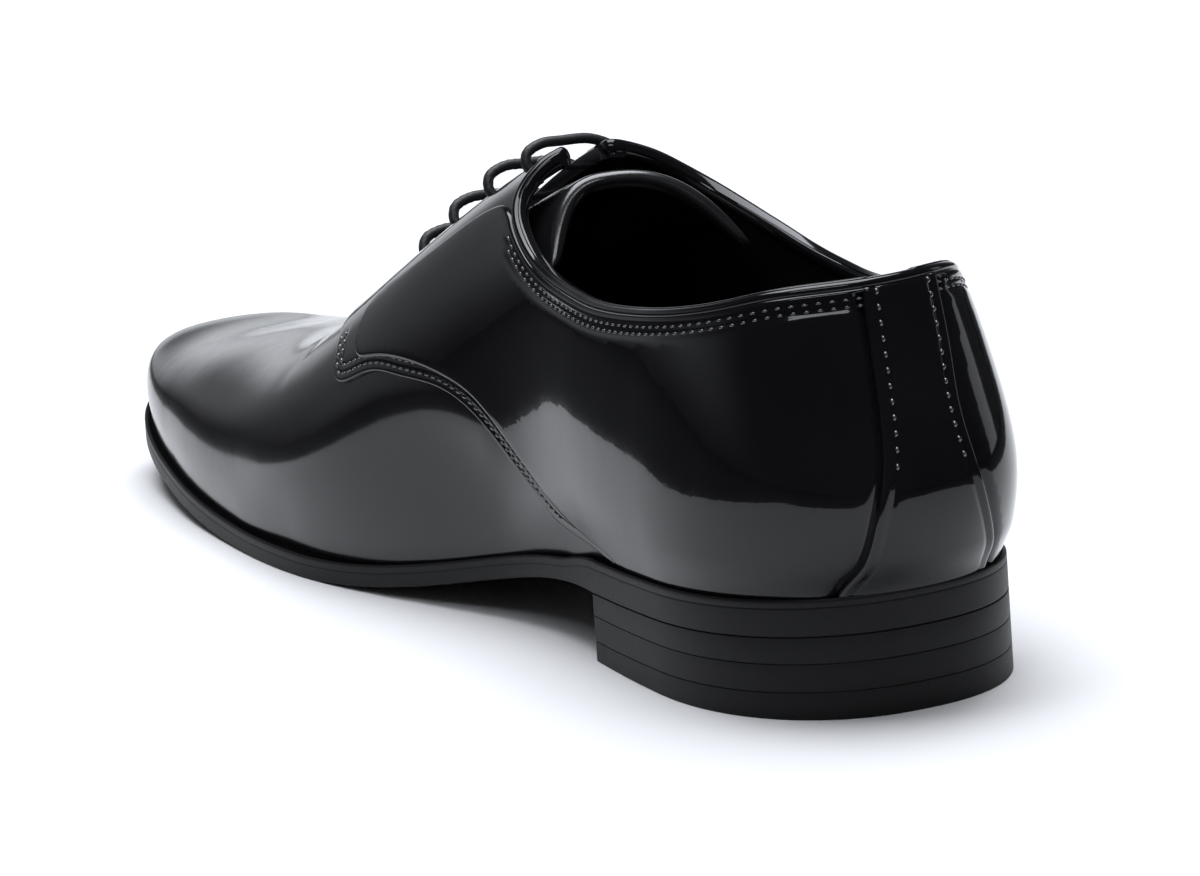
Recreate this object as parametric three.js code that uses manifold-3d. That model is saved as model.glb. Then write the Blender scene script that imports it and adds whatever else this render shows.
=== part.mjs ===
// A right dress shoe: black patent derby with two quarters laid over the vamp, a back stay and a low stacked heel.
// Millimetres, +Z up, +Y to the toe, +X to the lateral side. While it is built, y = 0 is the back of the sole
// and x = 0 the middle of the heel; the finished group is moved so that its origin is under its middle.
import * as THREE from "three";
import * as BufferGeometryUtils from "three/addons/utils/BufferGeometryUtils.js";
import Module from "manifold-3d";

const wasm = await Module();
wasm.setup();

// Driving sizes of the last and the sole
const soleLength = 304;
const ballWidth = 96.5;
const instepHeight = 93;
const heelHeight = 24.5;
const seatDrop = 3.5;
const heelLength = 77;
const breastHollow = 2.5;
const counterHeight = 60;
const archHeight = 14;
const toeSpring = 12;
const soleThickness = 4.8;
const seatThickness = 7.7;
const soleMargin = 1.8;
const edgeRound = 0.8;
const liftRound = 0.35;

// Driving sizes of the leather, the lace and the clearances
const wall = 1.6;
const quarterThickness = 1.2;
const stayThickness = 1.5;
const tongueThickness = 3.2;
const insoleThickness = 2.4;
const laceDiameter = 2.2;
const eyeletDiameter = 3.8;
const laceLift = 4.8;
const laceLean = 0.6;
const gap = 0.3;

// Where the parts of the last lie, as shares of the sole length
const toeShare = 0.135;
const toeTopShare = 0.06;
const heelShare = 0.155;
const toeSquareness = 2.3;
const flatStart = 0.61;
const flatEnd = 0.66;
const tipShift = -0.104;
const tipBend = 0.55;
const archPower = 2.4;
const seatBlend = 0.06;
const backFade = 0.3;

// Sole outline: half widths each side of the heel axis, as shares of the ball width
const outlineTable = table(["along", "medial", "lateral"], [
  [0.0, 0.365, 0.363],
  [0.12, 0.365, 0.363],
  [0.24, 0.337, 0.365],
  [0.36, 0.311, 0.378],
  [0.48, 0.399, 0.446],
  [0.6, 0.48, 0.518],
  [0.72, 0.471, 0.518],
  [0.82, 0.43, 0.456],
  [0.9, 0.378, 0.321],
  [1.0, 0.347, 0.212],
]);

// Sections of the last: height of the ridge as a share of the instep height, place of the ridge and bulge of the
// sides as shares of the ball width, fullness of shoulders and crown, and the height share where the side turns
const sectionTable = table(
  ["along", "height", "ridge", "bulgeMedial", "bulgeLateral", "shoulderMedial", "shoulderLateral",
    "crownMedial", "crownLateral", "turn"], [
    [0.0, 1.1, 0.0, 0.057, 0.057, 0.82, 0.82, 0.55, 0.55, 0.35],
    [0.12, 1.1, 0.0, 0.052, 0.052, 0.82, 0.82, 0.55, 0.55, 0.35],
    [0.25, 1.1, -0.01, 0.067, 0.062, 0.87, 0.87, 0.5, 0.5, 0.35],
    [0.36, 1.05, -0.031, 0.062, 0.052, 0.885, 0.83, 0.45, 0.45, 0.35],
    [0.45, 0.93, -0.052, 0.057, 0.041, 0.9, 0.8, 0.42, 0.4, 0.4],
    [0.54, 0.755, -0.062, 0.054, 0.041, 0.9, 0.8, 0.42, 0.35, 0.42],
    [0.62, 0.602, -0.062, 0.037, 0.041, 0.895, 0.84, 0.37, 0.33, 0.45],
    [0.72, 0.458, -0.062, 0.031, 0.031, 0.915, 0.9, 0.45, 0.38, 0.5],
    [0.82, 0.395, -0.067, 0.031, 0.031, 0.95, 0.95, 0.52, 0.46, 0.55],
    [0.92, 0.345, -0.073, 0.031, 0.026, 0.975, 0.96, 0.58, 0.55, 0.6],
    [1.0, 0.365, -0.073, 0.021, 0.021, 1.0, 1.0, 0.6, 0.6, 0.6],
  ]);

// Curve of the heel's back, up from the seat, as shares of the counter height; forward is positive
const backTable = table(["up", "forward"], [
  [-0.4, 0],
  [0, -0.017],
  [0.3, -0.117],
  [0.6, -0.017],
  [1, 0.133],
  [1.4, 0.217],
]);

// Front edge of a quarter, from the sole up to the throat: along, and around from 1 at the sole to 0 at the ridge
const quarterFrontTable = table(["along", "around"], [
  [0.12, 1.3],
  [0.2, 1.03],
  [0.255, 0.975],
  [0.31, 0.925],
  [0.36, 0.845],
  [0.4, 0.765],
  [0.44, 0.705],
  [0.48, 0.662],
  [0.52, 0.625],
  [0.556, 0.603],
  [0.566, 0.53],
  [0.58, 0.45],
  [0.592, 0.36],
  [0.597, 0.25],
  [0.598, 0.12],
]);

// Edge of the opening, from the throat up the facing, round the tab and back along the topline
const facingTable = table(["along", "around"], [
  [0.55, 0.063],
  [0.5, 0.068],
  [0.45, 0.075],
  [0.41, 0.08],
]);
const toplineMedialTable = table(["along", "around"], [
  [0.397, 0.1],
  [0.396, 0.16],
  [0.396, 0.24],
  [0.394, 0.31],
  [0.386, 0.375],
  [0.371, 0.435],
  [0.343, 0.5],
  [0.3, 0.546],
  [0.24, 0.571],
  [0.18, 0.564],
  [0.12, 0.541],
  [0.07, 0.512],
  [0.035, 0.486],
  [0.012, 0.476],
]);
const toplineLateralTable = table(["along", "around"], [
  [0.4, 0.1],
  [0.4, 0.16],
  [0.4, 0.24],
  [0.395, 0.33],
  [0.382, 0.4],
  [0.36, 0.465],
  [0.324, 0.53],
  [0.28, 0.585],
  [0.235, 0.612],
  [0.18, 0.605],
  [0.12, 0.567],
  [0.07, 0.524],
  [0.035, 0.489],
  [0.012, 0.476],
]);
const backTop = 0.475;

// Back stay, seen from behind: half widths as shares of the ball width, up from the seat in counter heights
const stayTable = table(["up", "medial", "lateral"], [
  [-0.2, 0.18, 0.185],
  [0, 0.168, 0.175],
  [0.11, 0.136, 0.168],
  [0.25, 0.12, 0.136],
  [0.39, 0.1, 0.112],
  [0.54, 0.08, 0.105],
  [0.73, 0.063, 0.12],
  [0.97, 0.05, 0.127],
  [1.2, 0.04, 0.13],
]);

// Edge of the tongue below its slanted top, in the same terms as the quarter's front
const tongueTable = table(["along", "around"], [
  [0.632, 0],
  [0.628, 0.14],
  [0.612, 0.25],
  [0.58, 0.33],
  [0.52, 0.4],
  [0.45, 0.45],
  [0.38, 0.5],
  [0.31, 0.55],
]);
const tongueTop = 0.388;
const tongueSlant = 36;
const throatAlong = 0.563;

// Eyelets, up each facing, and the dip of the tongue under the lace
const eyeletTable = table(["along", "lift"], [[0.56, 0.917], [0.514, 1], [0.468, 1], [0.422, 0.833]]);
const archTable = table(["share", "lift"], [[0.86, 0.8], [0.5, 1], [0, 0.95], [-0.5, 1], [-0.86, 0.8]]);
const eyeletAround = 0.165;
const laceEndAround = 0.25;

// Heights of the heel's joints at the back and at the breast, as shares of the heel height
const liftTable = table(["back", "breast"], [
  [0, 0],
  [0.232, 0.172],
  [0.465, 0.386],
  [0.686, 0.571],
]);

const stationCount = 40;
const aroundCount = 20;
const skirtDepth = 9;
const cutterReach = 6;

// Turns rows of numbers into rows with named columns
function table(columns, rows) {
  return rows.map((row) => Object.fromEntries(columns.map((name, k) => [name, row[k]])));
}

function smooth(t) {
  const u = THREE.MathUtils.clamp(t, 0, 1);
  return u * u * (3 - 2 * u);
}

// Natural cubic spline through two columns of a table
function splineOf(rows, xName, yName) {
  const n = rows.length;
  const x = rows.map((row) => row[xName]);
  const y = rows.map((row) => row[yName]);
  const bend = new Array(n).fill(0);
  const lower = new Array(n).fill(0);
  for (let i = 1; i < n - 1; i += 1) {
    const before = x[i] - x[i - 1];
    const after = x[i + 1] - x[i];
    const pivot = 2 * (before + after) - before * lower[i - 1];
    const rise = 6 * ((y[i + 1] - y[i]) / after - (y[i] - y[i - 1]) / before);
    lower[i] = after / pivot;
    bend[i] = (rise - before * bend[i - 1]) / pivot;
  }
  for (let i = n - 2; i > 0; i -= 1) bend[i] -= lower[i] * bend[i + 1];
  return (at) => {
    const p = THREE.MathUtils.clamp(at, x[0], x[n - 1]);
    let k = 0;
    while (k < n - 2 && p > x[k + 1]) k += 1;
    const h = x[k + 1] - x[k];
    const a = (x[k + 1] - p) / h;
    const b = (p - x[k]) / h;
    return a * y[k] + b * y[k + 1] + ((a ** 3 - a) * bend[k] + (b ** 3 - b) * bend[k + 1]) * h * h / 6;
  };
}

// Rounded end of an outline: 1 inside, 0 at the tip
function endCap(share, squareness) {
  return Math.max(1 - THREE.MathUtils.clamp(share, 0, 1) ** squareness, 0) ** (1 / squareness);
}

const medialWidth = splineOf(outlineTable, "along", "medial");
const lateralWidth = splineOf(outlineTable, "along", "lateral");
const backCurve = splineOf(backTable, "up", "forward");
const section = Object.fromEntries(
  Object.keys(sectionTable[0]).slice(1).map((name) => [name, splineOf(sectionTable, "along", name)]),
);

// Width of the sole at y, with its edge drawn in by a margin: medial x, lateral x, axis x and end rounding
function soleWidth(y, margin) {
  const along = y / soleLength;
  const inner = (y - margin) / (soleLength - 2 * margin);
  const round = endCap((heelShare - inner) / heelShare, toeSquareness)
    * endCap((inner - 1 + toeShare) / toeShare, toeSquareness);
  const axis = tipShift * ballWidth * smooth((along - tipBend) / (1 - tipBend));
  return {
    medial: axis - (medialWidth(along) * ballWidth - margin + axis) * round,
    lateral: axis + (lateralWidth(along) * ballWidth - margin - axis) * round,
    axis,
    round,
  };
}

// Underside of the sole: joint with the heel behind the breast, arch, flat tread, toe spring
function soleUnder(y) {
  const along = y / soleLength;
  const breast = heelLength / soleLength;
  if (along < breast) return heelHeight - seatThickness - (heelHeight - seatThickness - archHeight) * along / breast;
  if (along < flatStart) {
    return archHeight * Math.sin((Math.PI / 2) * (flatStart - along) / (flatStart - breast)) ** archPower;
  }
  return toeSpring * (Math.max(along - flatEnd, 0) / (1 - flatEnd)) ** 2;
}

// Top of the sole, which the upper and the insole stand on
function soleTop(y) {
  const share = y / heelLength;
  const seat = heelHeight - seatDrop * Math.min(share, 1.3);
  const blend = smooth((y - heelLength) / (seatBlend * soleLength));
  return seat * (1 - blend) + (soleUnder(y) + soleThickness) * blend;
}

// Place along the shoe for a station from 0 to 1, closer together at the round ends
function stationY(station, margin) {
  return margin + (soleLength - 2 * margin) * (1 - Math.cos(Math.PI * station)) / 2;
}

// A point of the last's surface; around runs from -1 at the medial edge over the ridge to 1 at the lateral edge
function lastPoint(y, around) {
  const along = y / soleLength;
  const inner = (y - soleMargin) / (soleLength - 2 * soleMargin);
  const width = soleWidth(y, soleMargin);
  const low = soleTop(y);
  const side = around < 0 ? "Medial" : "Lateral";
  const sign = around < 0 ? -1 : 1;
  const toeTop = endCap((inner - 1 + toeTopShare) / toeTopShare, toeSquareness);
  const height = Math.max(section.height(along) * instepHeight - low, 0) * toeTop;
  const ridge = section.ridge(along) * ballWidth * width.round + width.axis * (1 - width.round);
  const half = sign * ((around < 0 ? width.medial : width.lateral) - ridge);
  const bulge = section[`bulge${side}`](along) * ballWidth * width.round;
  const t = Math.max(1 - Math.abs(around), 0);
  const u = 1 - t;
  const reach = u ** 4 * half + 4 * t * u ** 3 * (half + bulge)
    + 6 * t * t * u * u * (half * section[`shoulder${side}`](along) + 0.6 * bulge)
    + 4 * t ** 3 * u * half * section[`crown${side}`](along);
  const rise = 4 * t * u ** 3 * section.turn(along) + 6 * t * t * u * u * 0.9 + 4 * t ** 3 * u + t ** 4;
  const z = low + rise * height - Math.max(Math.abs(around) - 1, 0) * skirtDepth;
  const fade = THREE.MathUtils.clamp(1 - along / backFade, 0, 1) ** 2;
  const push = backCurve((z - heelHeight) / counterHeight) * counterHeight * fade;
  return new THREE.Vector3(ridge + sign * reach, y + push, z);
}

// Outward normal of the last, level across the back of the heel
function lastNormal(y, around) {
  const step = 0.4;
  const edge = soleMargin + 0.15;
  const at = THREE.MathUtils.clamp(y, edge, soleLength - edge);
  const v = THREE.MathUtils.clamp(around, -0.98, 0.98);
  const forward = lastPoint(Math.min(at + step, soleLength - soleMargin), v)
    .sub(lastPoint(Math.max(at - step, soleMargin), v));
  const across = lastPoint(at, v + 0.01).sub(lastPoint(at, v - 0.01));
  const normal = across.cross(forward).normalize();
  if (y < edge) normal.x = 0;
  return normal.normalize();
}

// A closed solid from vertices and triangles; equal vertices are merged and the faces turned outward
function solidFrom(points, faces) {
  const seen = new Map();
  const slot = points.map((p) => {
    const key = [p.x, p.y, p.z].map((value) => Math.round(value * 1e4)).join();
    if (!seen.has(key)) seen.set(key, { index: seen.size, p });
    return seen.get(key).index;
  });
  const corners = [...seen.values()].map((entry) => entry.p);
  const kept = faces.map((face) => face.map((k) => slot[k]))
    .filter(([a, b, c]) => a !== b && b !== c && c !== a);
  const volume = kept.reduce((sum, [a, b, c]) => sum + corners[a].dot(corners[b].clone().cross(corners[c])), 0);
  const turned = volume < 0 ? kept.map(([a, b, c]) => [a, c, b]) : kept;
  return new wasm.Manifold(new wasm.Mesh({
    numProp: 3,
    vertProperties: new Float32Array(corners.flatMap((p) => [p.x, p.y, p.z])),
    triVerts: new Uint32Array(turned.flat()),
  }));
}

// A closed solid from a three.js geometry, moved by a function of its points
function solidFromGeometry(geometry, place = (p) => p) {
  const bare = geometry.index ? geometry.toNonIndexed() : geometry;
  const spots = bare.getAttribute("position");
  const points = [];
  for (let i = 0; i < spots.count; i += 1) points.push(place(new THREE.Vector3().fromBufferAttribute(spots, i)));
  const faces = [];
  for (let i = 0; i < spots.count; i += 3) faces.push([i, i + 1, i + 2]);
  return solidFrom(points, faces);
}

// The last as vertices: a skin of stations by steps around, equal vertices shared, with its normals
function lastSkin() {
  const points = [];
  const ids = [];
  const seen = new Map();
  for (let i = 0; i <= stationCount; i += 1) {
    const row = [];
    for (let j = 0; j <= aroundCount; j += 1) {
      const y = stationY(i / stationCount, soleMargin);
      const p = lastPoint(y, 2 * j / aroundCount - 1);
      const key = p.toArray().map((value) => Math.round(value * 1e3)).join();
      if (!seen.has(key)) {
        seen.set(key, points.length);
        points.push({ p, y, normal: new THREE.Vector3() });
      }
      row.push(seen.get(key));
    }
    ids.push(row);
  }
  const faces = [];
  for (let i = 0; i < stationCount; i += 1) {
    for (let j = 0; j < aroundCount; j += 1) {
      const quad = [ids[i][j], ids[i][j + 1], ids[i + 1][j + 1], ids[i + 1][j]];
      faces.push([quad[0], quad[1], quad[2]], [quad[0], quad[2], quad[3]]);
    }
  }
  for (const [a, b, c] of faces) {
    const edge = points[b].p.clone().sub(points[a].p);
    const turn = edge.cross(points[c].p.clone().sub(points[a].p));
    for (const k of [a, b, c]) points[k].normal.add(turn);
  }
  for (const point of points) point.normal.normalize();
  return { points, ids, faces };
}

const skin = lastSkin();

// The last grown by an offset, or shrunk by a negative one, with a skirt below the sole's top and a flat bottom
function lastForm(offsetAt) {
  const grown = skin.points.map(({ p, y, normal }) => p.clone().addScaledVector(normal, offsetAt(y)));
  const points = [...grown];
  const faces = [...skin.faces];
  const skirt = skin.ids.map((row) => [row[0], row[aroundCount]].map((k) => {
    const low = grown[k].clone();
    low.z -= skirtDepth;
    points.push(low);
    return points.length - 1;
  }));
  for (let i = 0; i < stationCount; i += 1) {
    const [medialNow, lateralNow] = [skin.ids[i][0], skin.ids[i][aroundCount]];
    const [medialNext, lateralNext] = [skin.ids[i + 1][0], skin.ids[i + 1][aroundCount]];
    const [lowMedial, lowLateral] = skirt[i];
    const [nextMedial, nextLateral] = skirt[i + 1];
    faces.push([medialNow, medialNext, nextMedial], [medialNow, nextMedial, lowMedial]);
    faces.push([lateralNow, lowLateral, nextLateral], [lateralNow, nextLateral, lateralNext]);
    faces.push([lowMedial, nextMedial, nextLateral], [lowMedial, nextLateral, lowLateral]);
  }
  return solidFrom(points, faces);
}

// A cutter through the upper's wall: its rim follows places on the last and stands square to the surface
function rimCutter(places, outerPoint, innerPoint) {
  const rim = places.map(({ along, around }) => {
    const y = Math.max(along * soleLength, soleMargin);
    return { p: lastPoint(y, around), normal: lastNormal(y, around) };
  });
  const n = rim.length;
  const points = [
    ...rim.map(({ p, normal }) => p.clone().addScaledVector(normal, cutterReach)),
    ...rim.map(({ p, normal }) => p.clone().addScaledVector(normal, -cutterReach)),
    outerPoint,
    innerPoint,
  ];
  const faces = [];
  for (let k = 0; k < n; k += 1) {
    const next = (k + 1) % n;
    faces.push([k, next, n + next], [k, n + next, n + k]);
    faces.push([next, k, 2 * n], [n + k, n + next, 2 * n + 1]);
  }
  return solidFrom(points, faces);
}

// A prism from an outline seen from the side, with pairs of y and z
function sidePrism(outline, reach = ballWidth) {
  const shape = new THREE.Shape(outline.map(([y, z]) => new THREE.Vector2(y, z)));
  const geometry = new THREE.ExtrudeGeometry(shape, { depth: 2 * reach, bevelEnabled: false });
  return solidFromGeometry(geometry, (p) => new THREE.Vector3(p.z - reach, p.x, p.y));
}

// The band between two heights above the sole's top, over its whole length
function soleBand(low, high) {
  const past = 0.1 * soleLength;
  const ys = [-past, ...soleStations().map((station) => stationY(station, 0)), soleLength + past];
  const at = (y) => soleTop(THREE.MathUtils.clamp(y, 0, soleLength));
  return sidePrism([...ys.map((y) => [y, at(y) + low]), ...ys.reverse().map((y) => [y, at(y) + high])]);
}

const medialSide = (rows) => rows.map(({ along, around }) => ({ along, around: -around }));

// The opening for foot and lace: throat, facings and topline; the throat's front end is given
function openingCutter(throatEnd) {
  const sideEdge = (topline) => [...facingTable.filter(({ along }) => along < throatEnd - 0.008), ...topline];
  const tip = [{ along: throatEnd, around: 0.03 }, { along: throatEnd - 0.004, around: 0.055 }];
  const medial = medialSide([...tip, ...sideEdge(toplineMedialTable)]);
  const lateral = [...tip, ...sideEdge(toplineLateralTable)];
  const rim = [...medial, { along: 0, around: -backTop }, ...lateral.reverse()];
  const middle = section.ridge(0.36) * ballWidth;
  return rimCutter(
    rim,
    new THREE.Vector3(middle, 0.2 * soleLength, 3 * instepHeight),
    new THREE.Vector3(middle, 0.2 * soleLength, 0.5 * instepHeight),
  );
}

// One quarter's region, from the back of the heel to its front edge and from the sole to the ridge
function quarterRegion(sign) {
  const front = quarterFrontTable.map(({ along, around }) => ({ along, around: sign * around }));
  const ridgeLine = [0.585, 0.54, 0.5, 0.46, 0.42, 0.38, 0.34, 0.3, 0.25, 0.2, 0.15, 0.1, 0.05, 0.02]
    .map((along) => ({ along, around: sign * 0.005 }));
  const backLine = [0.1, 0.3, 0.45, 0.6, 0.75, 0.9, 1, 1.3].map((around) => ({ along: 0, around: sign * around }));
  const soleLine = [0.02, 0.05, 0.1, 0.15].map((along) => ({ along, around: sign * 1.3 }));
  return rimCutter(
    [...front, ...ridgeLine, ...backLine, ...soleLine],
    new THREE.Vector3(sign * 3 * ballWidth, 0.2 * soleLength, 0.65 * instepHeight),
    new THREE.Vector3(sign * 0.02 * ballWidth, 0.3 * soleLength, 0.45 * instepHeight),
  );
}

// The back stay's region seen from behind, wider all round by a clearance
function stayRegion(clearance) {
  const high = (row) => heelHeight + row.up * counterHeight;
  const medial = stayTable.map((row) => new THREE.Vector2(-row.medial * ballWidth - clearance, high(row)));
  const lateral = stayTable.map((row) => new THREE.Vector2(row.lateral * ballWidth + clearance, high(row)));
  const shape = new THREE.Shape([...medial, ...lateral.reverse()]);
  const depth = 0.12 * soleLength;
  const geometry = new THREE.ExtrudeGeometry(shape, { depth, bevelEnabled: false });
  return solidFromGeometry(geometry, (p) => new THREE.Vector3(p.x, p.z - depth * 0.4, p.y));
}

// A slab with the sole's outline: each row gives a margin from the edge and the height at a place along the shoe
function outlineSlab(rows, stations) {
  const points = [];
  for (const station of stations) {
    const ring = rows.map(({ margin, heightAt }) => {
      const y = stationY(station, margin);
      const width = soleWidth(y, margin);
      return [width.medial, width.lateral].map((x) => new THREE.Vector3(x, y, heightAt(y)));
    });
    points.push(...ring.map((pair) => pair[0]), ...ring.map((pair) => pair[1]).reverse());
  }
  const around = 2 * rows.length;
  const faces = [];
  for (let i = 0; i < stations.length - 1; i += 1) {
    for (let j = 0; j < around; j += 1) {
      const quad = [i * around + j, i * around + (j + 1) % around];
      const next = quad.map((k) => k + around);
      faces.push([quad[0], quad[1], next[1]], [quad[0], next[1], next[0]]);
    }
  }
  return solidFrom(points, faces);
}

// Stations of the sole, with two on its flat tread
function soleStations() {
  const even = Array.from({ length: stationCount + 1 }, (_, k) => k / stationCount);
  const toStation = (along) => Math.acos(1 - 2 * along) / Math.PI;
  const marks = [flatStart + 0.004, flatEnd - 0.004, heelLength / soleLength].map(toStation);
  const clear = even.filter((s) => marks.every((mark) => Math.abs(s - mark) > 0.3 / stationCount));
  return [...clear, ...marks].sort((a, b) => a - b);
}

function makeOutsole() {
  return outlineSlab([
    { margin: edgeRound, heightAt: (y) => soleUnder(y) },
    { margin: 0, heightAt: (y) => soleUnder(y) + edgeRound },
    { margin: 0, heightAt: (y) => soleTop(y) - edgeRound },
    { margin: edgeRound, heightAt: (y) => soleTop(y) },
  ], soleStations());
}

// Space ahead of the heel's hollow front face
function breastCutter() {
  const steps = 8;
  const reach = 0.6 * ballWidth;
  const arc = Array.from({ length: steps + 1 }, (_, k) => {
    const share = 2 * k / steps - 1;
    return new THREE.Vector2(share * reach, heelLength - breastHollow * (1 - share * share));
  });
  const shape = new THREE.Shape([
    ...arc,
    new THREE.Vector2(reach, soleLength * 1.1),
    new THREE.Vector2(-reach, soleLength * 1.1),
  ]);
  const geometry = new THREE.ExtrudeGeometry(shape, { depth: 2 * heelHeight, bevelEnabled: false });
  return solidFromGeometry(geometry, (p) => new THREE.Vector3(p.x, p.y, p.z - heelHeight / 2));
}

// One layer of the heel between two joints, with a fine round along its edges
function makeLift(index) {
  const joint = (row) => (y) => {
    const share = Math.min(y / heelLength, 1.2);
    return heelHeight * (row.back + (row.breast - row.back) * share);
  };
  const low = joint(liftTable[index]);
  const high = joint(liftTable[index + 1]);
  return outlineSlab([
    { margin: liftRound, heightAt: low },
    { margin: 0, heightAt: (y) => low(y) + liftRound },
    { margin: 0, heightAt: (y) => high(y) - gap - liftRound },
    { margin: liftRound, heightAt: (y) => high(y) - gap },
  ], soleStations()).subtract(breastCutter());
}

// Through holes for the lace, square to the facings
function eyeletHoles() {
  const holes = [];
  for (const { along } of eyeletTable) {
    for (const around of [-eyeletAround, eyeletAround]) {
      const y = along * soleLength;
      const turn = new THREE.Quaternion().setFromUnitVectors(new THREE.Vector3(0, 1, 0), lastNormal(y, around));
      const middle = lastPoint(y, around);
      const pin = new THREE.CylinderGeometry(eyeletDiameter / 2, eyeletDiameter / 2, 2 * cutterReach, 12);
      holes.push(solidFromGeometry(pin, (p) => p.applyQuaternion(turn).add(middle)));
    }
  }
  return wasm.Manifold.union(holes);
}

function makeInsole() {
  const margin = soleMargin + wall + gap;
  return outlineSlab([
    { margin, heightAt: (y) => soleTop(y) + gap },
    { margin, heightAt: (y) => soleTop(y) + gap + insoleThickness },
  ], soleStations());
}

function shell(low, high) {
  return lastForm(() => high).subtract(lastForm(() => low)).subtract(soleBand(-heelHeight, gap));
}

function makeUpper() {
  return shell(-wall, 0).subtract(openingCutter(throatAlong)).subtract(eyeletHoles());
}

function makeQuarter(sign) {
  return shell(gap, gap + quarterThickness)
    .intersect(quarterRegion(sign))
    .subtract(openingCutter(0.62))
    .subtract(stayRegion(gap))
    .subtract(eyeletHoles());
}

function makeBackStay() {
  return shell(gap, gap + stayThickness).intersect(stayRegion(0)).subtract(openingCutter(throatAlong));
}

// How far the tongue's top lies under the last: close below the vamp, lower where the lace runs over it
function tongueDepth(y) {
  const close = wall + gap;
  const underLace = wall + laceDiameter + 7 * gap;
  return close + (underLace - close) * smooth((0.62 - y / soleLength) / 0.05);
}

function makeTongue() {
  const region = [...medialSide(tongueTable).slice(1).reverse(), ...tongueTable];
  const blank = lastForm((y) => -tongueDepth(y))
    .subtract(lastForm((y) => -tongueDepth(y) - tongueThickness))
    .intersect(rimCutter(
      region,
      new THREE.Vector3(0, 0.6 * soleLength, 3 * instepHeight),
      new THREE.Vector3(0, 0.5 * soleLength, 0.3 * instepHeight),
    ));
  const top = lastPoint(tongueTop * soleLength, 0);
  const lean = THREE.MathUtils.degToRad(tongueSlant);
  const far = 2 * instepHeight;
  const corner = (down, back) => [
    top.y - Math.sin(lean) * down - Math.cos(lean) * back,
    top.z - Math.cos(lean) * down + Math.sin(lean) * back,
  ];
  return blank.subtract(sidePrism([corner(-far, 0), corner(far, 0), corner(far, far), corner(-far, far)]));
}

// The lace's way: over the gap in bars, down the eyelets and along under the facings
function lacePath() {
  const under = -(wall + gap + laceDiameter / 2) - 0.1;
  const at = (along, around, lift) => {
    const y = along * soleLength;
    return lastPoint(y, around).addScaledVector(lastNormal(y, around), lift);
  };
  const points = [];
  const first = eyeletTable[0].along;
  const last = eyeletTable[eyeletTable.length - 1].along;
  for (const share of [0, 0.35, 0.7]) {
    points.push(at(last + (first - last) * share, -laceEndAround, under));
  }
  eyeletTable.forEach(({ along, lift }, index) => {
    const from = index % 2 === 0 ? -1 : 1;
    const hole = from * eyeletAround;
    const rise = lift * laceLift;
    points.push(at(along, hole, under), at(along, hole, 0), at(along, hole, rise * 0.45));
    for (const row of archTable) {
      points.push(at(along, hole * row.share, rise * row.lift - laceLean * from * row.share));
    }
    points.push(at(along, -hole, rise * 0.45), at(along, -hole, 0), at(along, -hole, under));
  });
  return new THREE.CatmullRomCurve3(points, false, "centripetal");
}

function makeLace() {
  const sides = 8;
  const outline = Array.from({ length: sides }, (_, k) => {
    const angle = 2 * Math.PI * k / sides;
    return new THREE.Vector2(Math.cos(angle), Math.sin(angle)).multiplyScalar(laceDiameter / 2);
  });
  const path = lacePath();
  const steps = Math.round(path.getLength() / (1.6 * laceDiameter));
  return solidFromGeometry(
    new THREE.ExtrudeGeometry(new THREE.Shape(outline), { steps, bevelEnabled: false, extrudePath: path }),
  );
}

const patent = { color: 0x0b0b0d, roughness: 0.12, metalness: 0 };
const lining = { color: 0x0a0a0a, roughness: 0.6, metalness: 0 };
const rubber = { color: 0x1c1d1e, roughness: 0.55, metalness: 0 };
const cotton = { color: 0x101011, roughness: 0.85, metalness: 0 };

const shoe = new THREE.Group();

function add(name, solid, look) {
  const mesh = solid.getMesh();
  const geometry = new THREE.BufferGeometry();
  geometry.setAttribute("position", new THREE.BufferAttribute(new Float32Array(mesh.vertProperties), 3));
  geometry.setIndex(new THREE.BufferAttribute(new Uint32Array(mesh.triVerts), 1));
  const part = new THREE.Mesh(geometry, new THREE.MeshStandardMaterial(look));
  part.name = name;
  shoe.add(part);
}

add("outsole", makeOutsole(), rubber);
add("heel_lift_1", makeLift(2), rubber);
add("heel_lift_2", makeLift(1), rubber);
add("heel_top_piece", makeLift(0), rubber);
add("insole", makeInsole(), lining);
add("upper", makeUpper(), patent);
add("quarter_medial", makeQuarter(-1), patent);
add("quarter_lateral", makeQuarter(1), patent);
add("back_stay", makeBackStay(), patent);
add("tongue", makeTongue(), lining);
add("lace", makeLace(), cotton);

// The origin goes under the middle of the finished shoe, on the floor
const box = new THREE.Box3().setFromObject(shoe);
const middle = box.getCenter(new THREE.Vector3());
shoe.position.set(-middle.x, -middle.y, -box.min.z);
shoe.updateMatrixWorld(true);

export default shoe;
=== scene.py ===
import math
import bpy
import numpy as np
from mathutils import Matrix, Vector
from mathutils.geometry import delaunay_2d_cdt
from mathutils.kdtree import KDTree


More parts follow.
